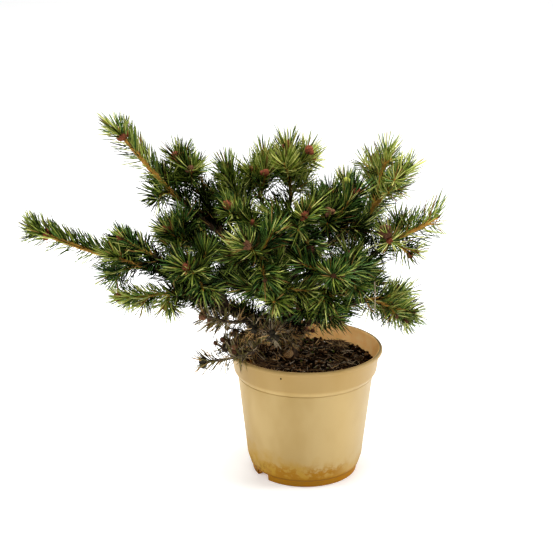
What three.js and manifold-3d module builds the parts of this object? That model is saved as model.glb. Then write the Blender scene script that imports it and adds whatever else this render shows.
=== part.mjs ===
// A dwarf spruce in a round nursery pot: pot, potting soil, trunk, boughs and one mass of needled
// shoots at the end of each bough. Millimetres, +Z up. The origin is the middle of the pot's flat
// underside. The plant leans towards -X, and its fullest side faces -Y.
import * as THREE from "three";
import { mergeVertices } from "three/addons/utils/BufferGeometryUtils.js";
import Module from "manifold-3d";

const wasm = await Module();
wasm.setup();

// ---- Driving sizes ------------------------------------------------------------------------

const GAP = 0.3; // between solids that meet

// The pot: a thin moulded shell with a collar, a rounded lip and a low foot.
const POT_HEIGHT = 110;
const LIP_RADIUS = 65;
const LIP_DROP = 3.4; // depth of the rounded lip
const COLLAR_TOP_RADIUS = 62.6;
const COLLAR_FOOT_RADIUS = 60.4;
const COLLAR_FOOT = 91; // height of the collar's lower edge
const WALL_TOP = 86.5; // where the slope under the collar meets the wall
const WALL_TOP_RADIUS = 57.3;
const WALL_FOOT_RADIUS = 49;
const WALL_FOOT = 15;
const FOOT_RADIUS = 44.5;
const FOOT_HEIGHT = 5.5;
const POT_WALL = 1.5;
const POT_SIDES = 36;
const NOTCH = { turn: 217, width: 15, depth: 9, count: 2 }; // water runs out through these

// The soil fills the pot to a little under the lip.
const SOIL_TOP = 97;
const SOIL_ROUGHNESS = 1.6;
const SOIL_RINGS = [18, 32, 46];
const SOIL_SIDES = 24;

// The trunk stands a little behind the pot's middle, and a sawn stub is left near its foot.
const TRUNK = {
  foot: [-14, 12],
  way: [
    [-14, 12, 88],
    [-13, 11, 122],
    [-19, 7, 160],
    [-20, 6, 207],
  ],
  radius: 6.6,
  tipRadius: 3.4,
  flare: 4.2,
  flareShare: 0.22,
  sides: 8,
  steps: 7,
};
const STUB = { from: [-13, 8, 100], to: [-15, -5, 104], radius: 3.6 };

// Needles and buds. A needle here is wider than a real one, because there are fewer of them.
const NEEDLE_LENGTH = 19;
const NEEDLE_STEP = 6.2; // of shoot for each ring of six needles
const NEEDLE_ANGLE = 58; // from the shoot, at its foot
const NEEDLE_CLOSING = 28; // how much less that is at its bud
const NEEDLE_LIFT = 0.18; // how much needles sweep upwards
const NEEDLE_ROOM = 2.6; // between needles of different shoots
const BARE_SHARE = 0.05; // of a shoot, at its foot
const BUD_RADIUS = 3.3;
const SHOOT_RADIUS = 1.45;
const SHOOT_TAPER = 0.75;
const SHOOT_SAG = 0.05;
const BOUGH_SIDES = 5;
const BOUGH_STEPS = 3;

// One row for each limb. Its first part, `bare` of its length, is a bough; the rest is the stem of
// a mass of needled shoots, which starts a gap further on. A limb that leaves another one than the
// trunk has no bough: its stem starts a gap clear of its parent.
// Limb: the limb it leaves, how far along that limb, and its tip as a turn round the pot's axis
// (0 is +X, 90 is +Y), a reach from that axis and a height. bow lifts its middle.
// Mass: the leader's turn, rise and length from the limb's tip; how far along it the whorl of
// `sides` shoots is; the whorl's angle to the leader, `spread`; the first one's roll, and the turn
// to the next, `fan`; and their length.
const BRANCHES = [
  { name: "left", from: "trunk", at: 0.13, bare: 0.82, tip: [192, 131, 188], bow: 4, thick: 4.6,
    leader: [181, 18.5, 98], whorl: 6, sides: 3, spread: 34, roll: 60, fan: 115, side: 27 },
  { name: "dry_upper", from: "left", at: 0.3, bare: 0, tip: [200, 62, 138], bow: 1, thick: 2.2,
    leader: [193, 16, 30], whorl: 8, sides: 1, spread: 50, roll: 120, fan: 90, side: 16 },
  { name: "dry_lower", from: "left", at: 0.17, bare: 0, tip: [218, 56, 116], bow: 2, thick: 2.4,
    leader: [190, -8, 42], whorl: 10, sides: 1, spread: 50, roll: 60, fan: 150, side: 16 },
  { name: "dry_centre", from: "trunk", at: 0.22, bare: 0.3, tip: [232, 38, 134], bow: 2, thick: 2.4,
    leader: [208, 16, 24], whorl: 4, sides: 2, spread: 60, roll: 90, fan: 180, side: 20 },
  { name: "lower_left", from: "left", at: 0.6, bare: 0, tip: [196, 112, 167], bow: -3, thick: 2.6,
    leader: [183, -5, 46], whorl: 4, sides: 1, spread: 62, roll: 160, fan: 200, side: 13 },
  { name: "left_front", from: "left", at: 0.46, bare: 0, tip: [208, 94, 188], bow: 4, thick: 2.8,
    leader: [252, 23, 35], whorl: 4, sides: 3, spread: 66, roll: 75, fan: 130, side: 18 },
  { name: "left_outer", from: "left", at: 0.75, bare: 0, tip: [197, 130, 201], bow: 3, thick: 2.3,
    leader: [170, 29, 29], whorl: 5, sides: 1, spread: 60, roll: 100, fan: 180, side: 13 },
  { name: "left_mid", from: "trunk", at: 0.5, bare: 0.5, tip: [187, 98, 204], bow: 4, thick: 3,
    leader: [208, 35, 24], whorl: 4, sides: 3, spread: 62, roll: 90, fan: 130, side: 20 },
  { name: "top_left", from: "trunk", at: 0.68, bare: 0.66, tip: [182, 104, 238], bow: -3, thick: 3.4,
    leader: [187, 51, 79], whorl: 8, sides: 2, spread: 56, roll: 95, fan: 110, side: 15 },
  { name: "upper_left", from: "top_left", at: 0.56, bare: 0, tip: [173, 88, 240], bow: 3, thick: 2.4,
    leader: [199, 58, 39], whorl: 10, sides: 3, spread: 48, roll: 70, fan: 110, side: 19 },
  { name: "mid_left", from: "trunk", at: 0.82, bare: 0.4, tip: [180, 50, 224], bow: -2, thick: 2.8,
    leader: [143, 62, 44], whorl: 10, sides: 2, spread: 56, roll: 75, fan: 125, side: 26 },
  { name: "upper_front", from: "trunk", at: 0.73, bare: 0.4, tip: [212, 47, 219], bow: -2, thick: 2.2,
    leader: [204, 42, 34], whorl: 5, sides: 2, spread: 60, roll: 90, fan: 180, side: 17 },
  { name: "upper_mid", from: "trunk", at: 0.91, bare: 0.4, tip: [163, 40, 236], bow: -2, thick: 2.4,
    leader: [80, 58, 38], whorl: 8, sides: 2, spread: 60, roll: 20, fan: 320, side: 18 },
  { name: "top", from: "trunk", at: 0.985, bare: 0.6, tip: [127, 21, 236], bow: 0, thick: 2.7,
    leader: [178, 86, 44], whorl: 12, sides: 3, spread: 42, roll: 150, fan: 110, side: 24 },
  { name: "centre_front", from: "trunk", at: 0.76, bare: 0.4, tip: [259, 31, 221], bow: -3, thick: 2.6,
    leader: [279, 32, 38], whorl: 6, sides: 3, spread: 62, roll: 70, fan: 125, side: 24 },
  { name: "centre_right", from: "trunk", at: 0.86, bare: 0.4, tip: [325, 19, 213], bow: -2, thick: 2.5,
    leader: [355, 54, 44], whorl: 6, sides: 3, spread: 58, roll: 60, fan: 125, side: 27 },
  { name: "right", from: "trunk", at: 0.34, bare: 0.76, tip: [346, 66, 205], bow: -4, thick: 4,
    leader: [345, 31, 51], whorl: 8, sides: 3, spread: 75, roll: 75, fan: 110, side: 20 },
  { name: "right_top", from: "right", at: 0.66, bare: 0, tip: [9, 54, 222], bow: 3, thick: 2.8,
    leader: [20, 76, 57], whorl: 8, sides: 3, spread: 36, roll: 100, fan: 80, side: 40 },
  { name: "lower_right", from: "trunk", at: 0.24, bare: 0.6, tip: [14, 52, 147], bow: 3, thick: 3,
    leader: [15, 6, 37], whorl: 7, sides: 3, spread: 40, roll: 125, fan: 55, side: 41 },
  { name: "front", from: "trunk", at: 0.59, bare: 0.45, tip: [240, 67, 206], bow: 4, thick: 3,
    leader: [250, 29, 37], whorl: 6, sides: 3, spread: 62, roll: 90, fan: 120, side: 24 },
  { name: "front_low", from: "trunk", at: 0.42, bare: 0.45, tip: [247, 50, 179], bow: 3, thick: 2.8,
    leader: [262, -4, 38], whorl: 5, sides: 3, spread: 66, roll: 280, fan: 80, side: 28 },
  { name: "front_right", from: "trunk", at: 0.52, bare: 0.45, tip: [289, 50, 190], bow: 3, thick: 2.7,
    leader: [279, 12, 34], whorl: 4, sides: 3, spread: 72, roll: 60, fan: 110, side: 26 },
  { name: "right_mid", from: "trunk", at: 0.64, bare: 0.4, tip: [335, 36, 183], bow: 2, thick: 2.6,
    leader: [322, 10, 22], whorl: 5, sides: 3, spread: 62, roll: 30, fan: 120, side: 19 },
  { name: "inner_low", from: "trunk", at: 0.25, bare: 0.4, tip: [284, 25, 155], bow: 2, thick: 2.6,
    leader: [300, -4, 30], whorl: 4, sides: 2, spread: 66, roll: 80, fan: 190, side: 22 },
  { name: "back_left", from: "trunk", at: 0.45, bare: 0.5, tip: [151, 94, 188], bow: 3, thick: 3,
    leader: [152, 12, 37], whorl: 10, sides: 2, spread: 60, roll: 80, fan: 190, side: 32 },
  { name: "back", from: "trunk", at: 0.55, bare: 0.5, tip: [113, 62, 168], bow: 3, thick: 3,
    leader: [98, 8, 46], whorl: 10, sides: 3, spread: 62, roll: 80, fan: 110, side: 26 },
  { name: "back_right", from: "trunk", at: 0.62, bare: 0.5, tip: [56, 60, 196], bow: 3, thick: 3,
    leader: [88, 60, 46], whorl: 10, sides: 3, spread: 62, roll: 90, fan: 90, side: 30 },
  { name: "back_low_right", from: "trunk", at: 0.15, bare: 0.5, tip: [60, 53, 142], bow: 3, thick: 2.8,
    leader: [55, -2, 44], whorl: 8, sides: 2, spread: 60, roll: 60, fan: 250, side: 30 },
  { name: "back_low_left", from: "trunk", at: 0.36, bare: 0.5, tip: [146, 72, 150], bow: 3, thick: 2.8,
    leader: [152, 5, 46], whorl: 8, sides: 2, spread: 60, roll: 90, fan: 170, side: 30 },
];
const LIMB_TIP_RADIUS = 1.7;

const COLOURS = {
  pot: [0.72, 0.6, 0.36],
  soil: [0.08, 0.055, 0.035],
  bark: [0.2, 0.13, 0.085],
  green: [0.09, 0.2, 0.035],
  dry: [0.33, 0.25, 0.13],
};

// ---- Helpers ------------------------------------------------------------------------------

const UP = new THREE.Vector3(0, 0, 1);
const vector = (p) => new THREE.Vector3(...p);

// Seeded random numbers from 0 to 1.
function seeded(seed) {
  let state = seed >>> 0;
  return () => {
    state = (state + 0x6d2b79f5) >>> 0;
    let t = Math.imul(state ^ (state >>> 15), state | 1);
    t = (t ^ (t + Math.imul(t ^ (t >>> 7), t | 61))) >>> 0;
    return ((t ^ (t >>> 14)) >>> 0) / 4294967296;
  };
}

// A unit vector from a turn (0 is +X, 90 is +Y) and a rise above the horizon, in degrees.
function heading(turn, rise) {
  const a = THREE.MathUtils.degToRad(turn);
  const e = THREE.MathUtils.degToRad(rise);
  return new THREE.Vector3(Math.cos(a) * Math.cos(e), Math.sin(a) * Math.cos(e), Math.sin(e));
}

// A direction at `angle` degrees to `axis`, rolled round it; roll 0 is the side that looks up.
function leaning(axis, angle, roll) {
  const up = UP.clone().addScaledVector(axis, -axis.z).normalize();
  const side = new THREE.Vector3().crossVectors(axis, up);
  const a = THREE.MathUtils.degToRad(angle);
  const r = THREE.MathUtils.degToRad(roll);
  return axis
    .clone()
    .multiplyScalar(Math.cos(a))
    .addScaledVector(up, Math.sin(a) * Math.cos(r))
    .addScaledVector(side, Math.sin(a) * Math.sin(r));
}

function indexed(positions, index) {
  const geometry = new THREE.BufferGeometry();
  geometry.setAttribute("position", new THREE.Float32BufferAttribute(positions, 3));
  geometry.setIndex(index);
  return geometry;
}

// A closed tapering limb round a curve. `longer` pushes its two ends out along the curve.
function limb(curve, radiusAt, sides, steps, longer = 0) {
  const frames = curve.computeFrenetFrames(steps, false);
  const positions = [];
  const index = [];
  for (let i = 0; i <= steps; i++) {
    const end = (i === steps) - (i === 0);
    const centre = curve.getPointAt(i / steps).addScaledVector(frames.tangents[i], end * longer);
    for (let j = 0; j < sides; j++) {
      const a = (j / sides) * 2 * Math.PI;
      const p = centre
        .clone()
        .addScaledVector(frames.normals[i], Math.cos(a) * radiusAt(i / steps))
        .addScaledVector(frames.binormals[i], Math.sin(a) * radiusAt(i / steps));
      positions.push(p.x, p.y, p.z);
      if (i < steps) {
        const [a0, a1] = [i * sides + j, i * sides + ((j + 1) % sides)];
        index.push(a0, a1, a0 + sides, a1, a1 + sides, a0 + sides);
      }
    }
  }
  const last = steps * sides;
  for (let j = 1; j < sides - 1; j++) {
    index.push(0, j + 1, j, last, last + j, last + j + 1);
  }
  return indexed(positions, index);
}

// three.js geometry to a manifold-3d solid, and back.
function solid(geometry) {
  const bare = geometry.clone();
  bare.deleteAttribute("normal");
  bare.deleteAttribute("uv");
  const merged = mergeVertices(bare, 1e-4);
  return new wasm.Manifold(
    new wasm.Mesh({
      numProp: 3,
      vertProperties: merged.attributes.position.array,
      triVerts: new Uint32Array(merged.index.array),
    }),
  );
}

function geometryOf(made) {
  const mesh = made.getMesh();
  return indexed(Array.from(mesh.vertProperties), Array.from(mesh.triVerts));
}

const part = new THREE.Group();

function addNode(name, geometry, colour, roughness) {
  geometry.computeVertexNormals();
  const material = new THREE.MeshStandardMaterial({
    color: new THREE.Color(...colour),
    roughness,
    metalness: 0,
    flatShading: true,
  });
  const mesh = new THREE.Mesh(geometry, material);
  mesh.name = name;
  part.add(mesh);
}

// ---- Pot ----------------------------------------------------------------------------------

// The outer line of the pot from the edge of its foot to the lip, as [radius, height].
const POT_OUTSIDE = [
  [FOOT_RADIUS, 0],
  [FOOT_RADIUS + 0.5, FOOT_HEIGHT],
  [FOOT_RADIUS + 1.8, FOOT_HEIGHT + 1],
  [WALL_FOOT_RADIUS, WALL_FOOT],
  [WALL_TOP_RADIUS, WALL_TOP],
  [COLLAR_FOOT_RADIUS, COLLAR_FOOT],
  [COLLAR_TOP_RADIUS, POT_HEIGHT - LIP_DROP],
  [LIP_RADIUS, POT_HEIGHT - LIP_DROP * 0.75],
  [LIP_RADIUS, POT_HEIGHT - LIP_DROP * 0.3],
  [LIP_RADIUS - 0.8, POT_HEIGHT],
];
// The inner line, from the floor to the mouth.
const POT_INSIDE = [
  [FOOT_RADIUS - POT_WALL, POT_WALL],
  [FOOT_RADIUS + 0.5 - POT_WALL, FOOT_HEIGHT + 1],
  [WALL_FOOT_RADIUS - POT_WALL, WALL_FOOT + 0.5],
  [WALL_TOP_RADIUS - POT_WALL, WALL_TOP + 0.5],
  [COLLAR_FOOT_RADIUS - POT_WALL, COLLAR_FOOT + 0.5],
  [COLLAR_TOP_RADIUS - POT_WALL, POT_HEIGHT - LIP_DROP * 0.5],
  [COLLAR_TOP_RADIUS - POT_WALL + 0.8, POT_HEIGHT],
];

function turned(profile, sides) {
  const points = profile.map(([r, z]) => new THREE.Vector2(r, z));
  return new THREE.LatheGeometry(points, sides).rotateX(Math.PI / 2);
}

function makePot() {
  const floor = [
    [0, POT_WALL],
    [0, 0],
  ];
  const shell = solid(turned([...floor, ...POT_OUTSIDE, ...[...POT_INSIDE].reverse(), floor[0]], POT_SIDES));
  const cuts = [];
  for (let i = 0; i < NOTCH.count; i++) {
    const notch = new THREE.BoxGeometry(2 * NOTCH.depth, NOTCH.width, 2 * (FOOT_HEIGHT - 0.5));
    notch.translate(FOOT_RADIUS + 2, 0, 0);
    notch.rotateZ(THREE.MathUtils.degToRad(NOTCH.turn + (360 / NOTCH.count) * i));
    cuts.push(solid(notch));
  }
  return geometryOf(shell.subtract(wasm.Manifold.union(cuts)));
}

// ---- Soil ---------------------------------------------------------------------------------

// The pot's inner radius at a height, by straight lines between the points of its inner line.
function insideRadius(z) {
  for (let i = 1; i < POT_INSIDE.length; i++) {
    const [[r0, z0], [r1, z1]] = [POT_INSIDE[i - 1], POT_INSIDE[i]];
    if (z <= z1) return r0 + ((r1 - r0) * (z - z0)) / (z1 - z0);
  }
  return POT_INSIDE.at(-1)[0];
}

// The soil follows the pot's inside a small gap clear, and its top is uneven away from the trunk.
function makeSoil() {
  const random = seeded(7);
  const positions = [];
  const index = [];
  const facetShare = Math.cos(Math.PI / POT_SIDES);
  const side = POT_INSIDE.filter(([, z]) => z < SOIL_TOP).map(([r, z]) => [r, z]);
  side.push([insideRadius(SOIL_TOP), SOIL_TOP]);
  const rings = side.map(([r, z]) => [(r - GAP) * facetShare - 0.1, z + GAP * (z === POT_WALL), 0]);
  rings.at(-1)[1] = SOIL_TOP;
  [...SOIL_RINGS].reverse().forEach((r) => rings.push([r, SOIL_TOP, SOIL_ROUGHNESS]));
  rings.forEach(([r, z, rough], i) => {
    for (let j = 0; j < SOIL_SIDES; j++) {
      const a = (j / SOIL_SIDES) * 2 * Math.PI;
      const [x, y] = [r * Math.cos(a), r * Math.sin(a)];
      const far = Math.hypot(x - TRUNK.foot[0], y - TRUNK.foot[1]) > 2.2 * TRUNK.radius + 6;
      positions.push(x, y, z + (far ? rough * (random() - 0.6) : 0));
      if (i > 0) {
        const [a0, a1] = [(i - 1) * SOIL_SIDES + j, (i - 1) * SOIL_SIDES + ((j + 1) % SOIL_SIDES)];
        index.push(a0, a1, a0 + SOIL_SIDES, a1, a1 + SOIL_SIDES, a0 + SOIL_SIDES);
      }
    }
  });
  const top = (rings.length - 1) * SOIL_SIDES;
  for (let j = 1; j < SOIL_SIDES - 1; j++) {
    index.push(0, j + 1, j, top, top + j, top + j + 1);
  }
  return indexed(positions, index);
}

// ---- Trunk and boughs ---------------------------------------------------------------------

const trunkCurve = new THREE.CatmullRomCurve3(TRUNK.way.map(vector));

function trunkRadius(t) {
  const flare = TRUNK.flare * Math.max(0, 1 - t / TRUNK.flareShare) ** 2;
  return THREE.MathUtils.lerp(TRUNK.radius, TRUNK.tipRadius, t) + flare;
}

function makeTrunk() {
  const stem = solid(limb(trunkCurve, trunkRadius, TRUNK.sides, TRUNK.steps));
  const stubCurve = new THREE.LineCurve3(vector(STUB.from), vector(STUB.to));
  const stub = solid(limb(stubCurve, () => STUB.radius, TRUNK.sides, 1));
  const ground = new THREE.BoxGeometry(80, 80, 40).translate(...TRUNK.foot, SOIL_TOP + GAP - 20);
  return stem.add(stub).subtract(solid(ground));
}

// The stretch of a curve between two shares of its length, as a curve of its own.
function stretch(curve, from, to) {
  const points = [0, 0.25, 0.5, 0.75, 1].map((t) => curve.getPointAt(from + (to - from) * t));
  return new THREE.CatmullRomCurve3(points);
}

// How far along a limb's curve its stem lies a gap clear of the bough it leaves.
function clearOfParent(parentRow, curve) {
  const parent = boughSolid(parentRow);
  const gapAt = (distance) => {
    const stem = stretch(curve, distance / curve.getLength(), 1);
    return shootSolid({ curve: stem, radius: LIMB_TIP_RADIUS }, () => null).minGap(parent, 2 * GAP);
  };
  let distance = 2;
  while (gapAt(distance) < GAP) distance += 0.1;
  return distance;
}

// Every limb by name: its whole curve, its radius at a share of it, and its bough and stem.
const limbs = new Map([["trunk", { curve: trunkCurve, radiusAt: trunkRadius }]]);

for (const row of BRANCHES) {
  const parent = limbs.get(row.from);
  const root = parent.curve.getPointAt(row.at);
  const [turn, reach, height] = row.tip;
  const tip = heading(turn, 0).multiplyScalar(reach).setZ(height);
  const middle = root.clone().lerp(tip, 0.5).addScaledVector(UP, 2 * row.bow);
  const curve = new THREE.QuadraticBezierCurve3(root, middle, tip);
  const radiusAt = (t) => THREE.MathUtils.lerp(row.thick, LIMB_TIP_RADIUS, t);
  const leaves = BRANCHES.find(({ name }) => name === row.from);
  const skipped = row.bare > 0 ? GAP + 0.05 : clearOfParent(leaves, curve);
  const stem = stretch(curve, row.bare + skipped / curve.getLength(), 1);
  limbs.set(row.name, { curve, radiusAt, bare: row.bare, stem });
}

function boughSolid({ name, bare }) {
  const { curve, radiusAt } = limbs.get(name);
  return solid(limb(stretch(curve, 0, bare), (t) => radiusAt(t * bare), BOUGH_SIDES, BOUGH_STEPS));
}

// A bough starts a gap clear of the trunk.
function makeBough(row) {
  const { sides, steps } = TRUNK;
  const grown = (t) => trunkRadius(t) + (GAP + 0.02) / Math.cos(Math.PI / sides);
  return largest(boughSolid(row).subtract(solid(limb(trunkCurve, grown, sides, steps, GAP + 0.02))));
}

// The largest body of a cut solid: the limb itself, without any sliver on its parent's far side.
const largest = (made) => made.decompose().reduce((a, b) => (b.volume() > a.volume() ? b : a));

// ---- Masses of needled shoots -------------------------------------------------------------

// The shoots of one mass: its stem, the leader that goes on from it, and the whorl's side shoots.
function shootsOf(row, seed) {
  const random = seeded(seed);
  const [turn, rise, length] = row.leader;
  const forward = heading(turn, rise);
  const make = (from, direction, reach) => {
    const tip = from.clone().addScaledVector(direction, reach);
    const middle = from.clone().lerp(tip, 0.5).addScaledVector(UP, -SHOOT_SAG * reach);
    return { curve: new THREE.QuadraticBezierCurve3(from, middle, tip), radius: SHOOT_RADIUS };
  };
  const { stem } = limbs.get(row.name);
  const leader = make(stem.getPointAt(1).addScaledVector(forward, -SHOOT_RADIUS), forward, length);
  const shoots = [{ curve: stem, radius: LIMB_TIP_RADIUS, isStem: true }, leader];
  for (let i = 0; i < row.sides; i++) {
    const from = leader.curve.getPointAt((row.whorl * (1 + 0.25 * i)) / length);
    const spread = row.spread + 8 * (random() - 0.5);
    const roll = row.roll + row.fan * i + 12 * (random() - 0.5);
    shoots.push(make(from, leaning(forward, spread, roll), row.side * (0.9 + 0.2 * random())));
  }
  return shoots;
}

const masses = BRANCHES.map((row, i) => ({ row, seed: 100 + i, shoots: shootsOf(row, 100 + i) }));

// Points along every limb and shoot, used to keep each mass in its own space.
function samples(curve, step) {
  const count = Math.max(2, Math.ceil(curve.getLength() / step));
  return Array.from({ length: count + 1 }, (_, i) => ({ t: i / count, p: curve.getPointAt(i / count) }));
}
const limbPoints = [...limbs.values()].flatMap(({ curve, radiusAt, bare = 1 }) =>
  samples(curve, 2)
    .filter(({ t }) => t <= bare)
    .map(({ t, p }) => ({ p, r: radiusAt(t) })),
);
const shootPoints = masses.map(({ shoots }) =>
  shoots.flatMap((shoot) => samples(shoot.curve, 2).map(({ p }) => p)),
);
const budCentre = (shoot) => shoot.curve.getPointAt(1);
const budCentres = masses.map(({ shoots }) => shoots.filter(({ isStem }) => !isStem).map(budCentre));

const nearest = (q, points) => points.reduce((least, p) => Math.min(least, q.distanceToSquared(p)), 1e9) ** 0.5;

function clearOfPot(q) {
  const r = Math.hypot(q.x, q.y);
  if (q.z > POT_HEIGHT + 1.5 || r > LIP_RADIUS + 2) return true;
  return r < WALL_TOP_RADIUS - 3 && q.z > SOIL_TOP + 3;
}

// Whether a point of mass number `own` keeps to that mass's space, `room` clear of all else.
function inOwnSpace(q, own, room) {
  if (!clearOfPot(q)) return false;
  if (limbPoints.some(({ p, r }) => q.distanceTo(p) < r + room)) return false;
  const mine = nearest(q, shootPoints[own]) + 1.8;
  return shootPoints.every(
    (points, i) => i === own || (nearest(q, points) > mine && nearest(q, budCentres[i]) > BUD_RADIUS + 2),
  );
}

// A shoot as one closed surface. Its core is a strip of triangles round three-sided rings, each
// ring turned 60 degrees on from the last, and a needle stands on each triangle where
// `needleAt(t, root)` gives the place of its tip.
function shootSolid(shoot, needleAt) {
  const { curve, radius } = shoot;
  const steps = Math.max(3, Math.round(curve.getLength() / NEEDLE_STEP));
  const frames = curve.computeFrenetFrames(steps, false);
  const corners = [];
  for (let i = 0; i <= steps; i++) {
    const reach = THREE.MathUtils.lerp(radius, radius * SHOOT_TAPER, i / steps);
    for (let j = 0; j < 3; j++) {
      const a = THREE.MathUtils.degToRad(120 * j + 60 * i);
      const side = frames.normals[i].clone().multiplyScalar(Math.cos(a) * reach);
      side.addScaledVector(frames.binormals[i], Math.sin(a) * reach);
      corners.push(curve.getPointAt(i / steps).add(side));
    }
  }
  const index = [0, 2, 1];
  const facet = (a, b, c, t) => {
    const root = corners[a].clone().add(corners[b]).add(corners[c]).divideScalar(3);
    const tip = needleAt(t, root);
    if (tip) {
      const apex = corners.push(tip) - 1;
      index.push(a, b, apex, b, c, apex, c, a, apex);
    } else {
      index.push(a, b, c);
    }
  };
  for (let i = 0; i < steps; i++) {
    for (let j = 0; j < 3; j++) {
      const [a, b] = [3 * i + j, 3 * i + ((j + 1) % 3)];
      const [c, d] = [3 * (i + 1) + j, 3 * (i + 1) + ((j + 1) % 3)];
      facet(a, b, c, (i + 1 / 3) / steps);
      facet(b, d, c, (i + 2 / 3) / steps);
    }
  }
  const last = 3 * steps;
  index.push(last, last + 1, last + 2);
  return solid(indexed(corners.flatMap((p) => p.toArray()), index));
}

// A needle's tip: forward and outward from its root, swept up a little, shorter near both ends.
function needleTip(shoot, t, root, random) {
  const axis = shoot.curve.getTangentAt(t);
  const outward = root.clone().sub(shoot.curve.getPointAt(t));
  outward.addScaledVector(axis, -outward.dot(axis)).normalize();
  const angle = THREE.MathUtils.degToRad(NEEDLE_ANGLE - NEEDLE_CLOSING * t ** 3 + 7 * (random() - 0.5));
  const way = axis.multiplyScalar(Math.cos(angle)).addScaledVector(outward, Math.sin(angle));
  way.addScaledVector(UP, NEEDLE_LIFT).normalize();
  const length = NEEDLE_LENGTH * (0.84 + 0.3 * random()) * (0.92 + 0.08 * Math.sin(Math.PI * t));
  return root.clone().addScaledVector(way, length);
}

function bud(shoot) {
  const along = shoot.curve.getTangentAt(1);
  const ball = new THREE.OctahedronGeometry(BUD_RADIUS, 0).scale(1.05, 1.05, 1.35);
  ball.applyQuaternion(new THREE.Quaternion().setFromUnitVectors(UP, along));
  const at = budCentre(shoot);
  return solid(ball.translate(at.x, at.y, at.z));
}

function makeMass({ shoots, seed }, own) {
  const random = seeded(5000 + seed);
  const taken = []; // points along the needles of the shoots made so far
  const pieces = shoots.map((shoot) => {
    const others = shoots.filter((other) => other !== shoot).flatMap(({ curve }) => samples(curve, 2));
    const cores = others.map(({ p }) => p);
    const mine = [];
    const needleAt = (t, root) => {
      const tip = needleTip(shoot, t, root, random);
      const path = Array.from({ length: 10 }, (_, i) => root.clone().lerp(tip, 0.1 * (i + 1)));
      const free = path.every(
        (q) =>
          inOwnSpace(q, own, 1.2) &&
          nearest(q, cores) > 2 &&
          nearest(q, taken) > NEEDLE_ROOM &&
          nearest(q, budCentres[own]) > BUD_RADIUS + 0.5,
      );
      if (t < BARE_SHARE || !free) return null;
      mine.push(...path);
      return tip;
    };
    const made = shootSolid(shoot, needleAt);
    taken.push(...mine);
    return shoot.isStem ? made : made.add(bud(shoot));
  });
  return wasm.Manifold.union(pieces);
}

// ---- The whole plant ----------------------------------------------------------------------

addNode("pot", makePot(), COLOURS.pot, 0.6);
addNode("soil", makeSoil(), COLOURS.soil, 1);
addNode("trunk", geometryOf(makeTrunk()), COLOURS.bark, 0.95);
BRANCHES.filter(({ bare }) => bare > 0).forEach((row) => addNode("bough_" + row.name, geometryOf(makeBough(row)), COLOURS.bark, 0.95));
masses.forEach((mass, own) => {
  const colour = mass.row.name.startsWith("dry") ? COLOURS.dry : COLOURS.green;
  addNode("needles_" + mass.row.name, geometryOf(makeMass(mass, own)), colour, 0.7);
});

export default part;
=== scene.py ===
# %% [markdown]
# # A potted dwarf spruce
# This lesson dresses a plain solid model of a young spruce in a plastic nursery pot. The solids
# give every place and size. Here they get what makes a spruce: thousands of fine needles on
# orange twigs, scaly buds, rough bark, crumbly soil, and a stained, moulded pot.

# %% Load the solids and the tools
import math
import bpy
import numpy as np
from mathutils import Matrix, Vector, noise


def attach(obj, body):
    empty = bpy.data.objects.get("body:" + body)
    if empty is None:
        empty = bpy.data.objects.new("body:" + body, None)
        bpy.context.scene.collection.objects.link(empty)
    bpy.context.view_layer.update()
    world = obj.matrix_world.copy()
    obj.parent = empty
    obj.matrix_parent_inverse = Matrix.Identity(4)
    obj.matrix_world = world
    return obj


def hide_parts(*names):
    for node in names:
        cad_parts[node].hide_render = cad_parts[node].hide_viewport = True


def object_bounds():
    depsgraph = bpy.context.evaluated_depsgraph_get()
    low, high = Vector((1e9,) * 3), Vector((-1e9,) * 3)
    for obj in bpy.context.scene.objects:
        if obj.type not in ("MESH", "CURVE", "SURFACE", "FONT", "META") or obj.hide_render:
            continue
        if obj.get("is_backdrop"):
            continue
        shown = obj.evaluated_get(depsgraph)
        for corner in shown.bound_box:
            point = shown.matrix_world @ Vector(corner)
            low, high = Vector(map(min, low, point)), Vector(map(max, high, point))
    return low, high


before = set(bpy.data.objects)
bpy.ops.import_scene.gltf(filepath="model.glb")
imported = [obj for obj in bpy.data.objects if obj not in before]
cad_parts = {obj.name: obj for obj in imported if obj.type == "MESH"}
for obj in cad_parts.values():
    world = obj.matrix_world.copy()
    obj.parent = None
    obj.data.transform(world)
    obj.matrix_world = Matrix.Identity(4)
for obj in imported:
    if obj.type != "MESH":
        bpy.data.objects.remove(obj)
cad_low, cad_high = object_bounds()
MM = 0.001  # one millimetre in Blender's metres: every size below is written in millimetres
print("solids:", len(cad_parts), "box (m):", list(cad_low), list(cad_high))

# %% [markdown]
# ## The camera
# The picture is taken from in front, from about one metre away and half a metre up, looking
# down into the pot. A long lens keeps the pot's sides nearly straight. It is set first.

# %% Set the camera
CAMERA_PLACE = (0.0, -1.091, 0.519)  # metres
CAMERA_DOWN = 17.69  # degrees below the horizon
CAMERA_TURN = 1.278  # degrees towards -X
SENSOR = 36.0
PICTURE_WIDTH = 553  # pixels
LENS_PIXELS = 1379  # the lens's length in pixels of that picture

camera_data = bpy.data.cameras.new("camera")
camera_data.sensor_width = SENSOR
camera_data.lens = SENSOR * LENS_PIXELS / PICTURE_WIDTH
camera = bpy.data.objects.new("camera", camera_data)
camera.location = CAMERA_PLACE
camera.rotation_euler = (math.radians(90 - CAMERA_DOWN), 0, math.radians(CAMERA_TURN))
bpy.context.scene.collection.objects.link(camera)
bpy.context.scene.camera = camera
print("lens (mm):", round(camera_data.lens, 1))

# %% [markdown]
# ## Shader sums in Python
# A finish is a small network of nodes. Wiring each one by hand hides the idea, so a socket is
# wrapped in a class whose plus, minus and times signs add Math nodes. Every other kind of node
# comes from one method, `node`. That keeps each finish as short as the sum it stands for.

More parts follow.
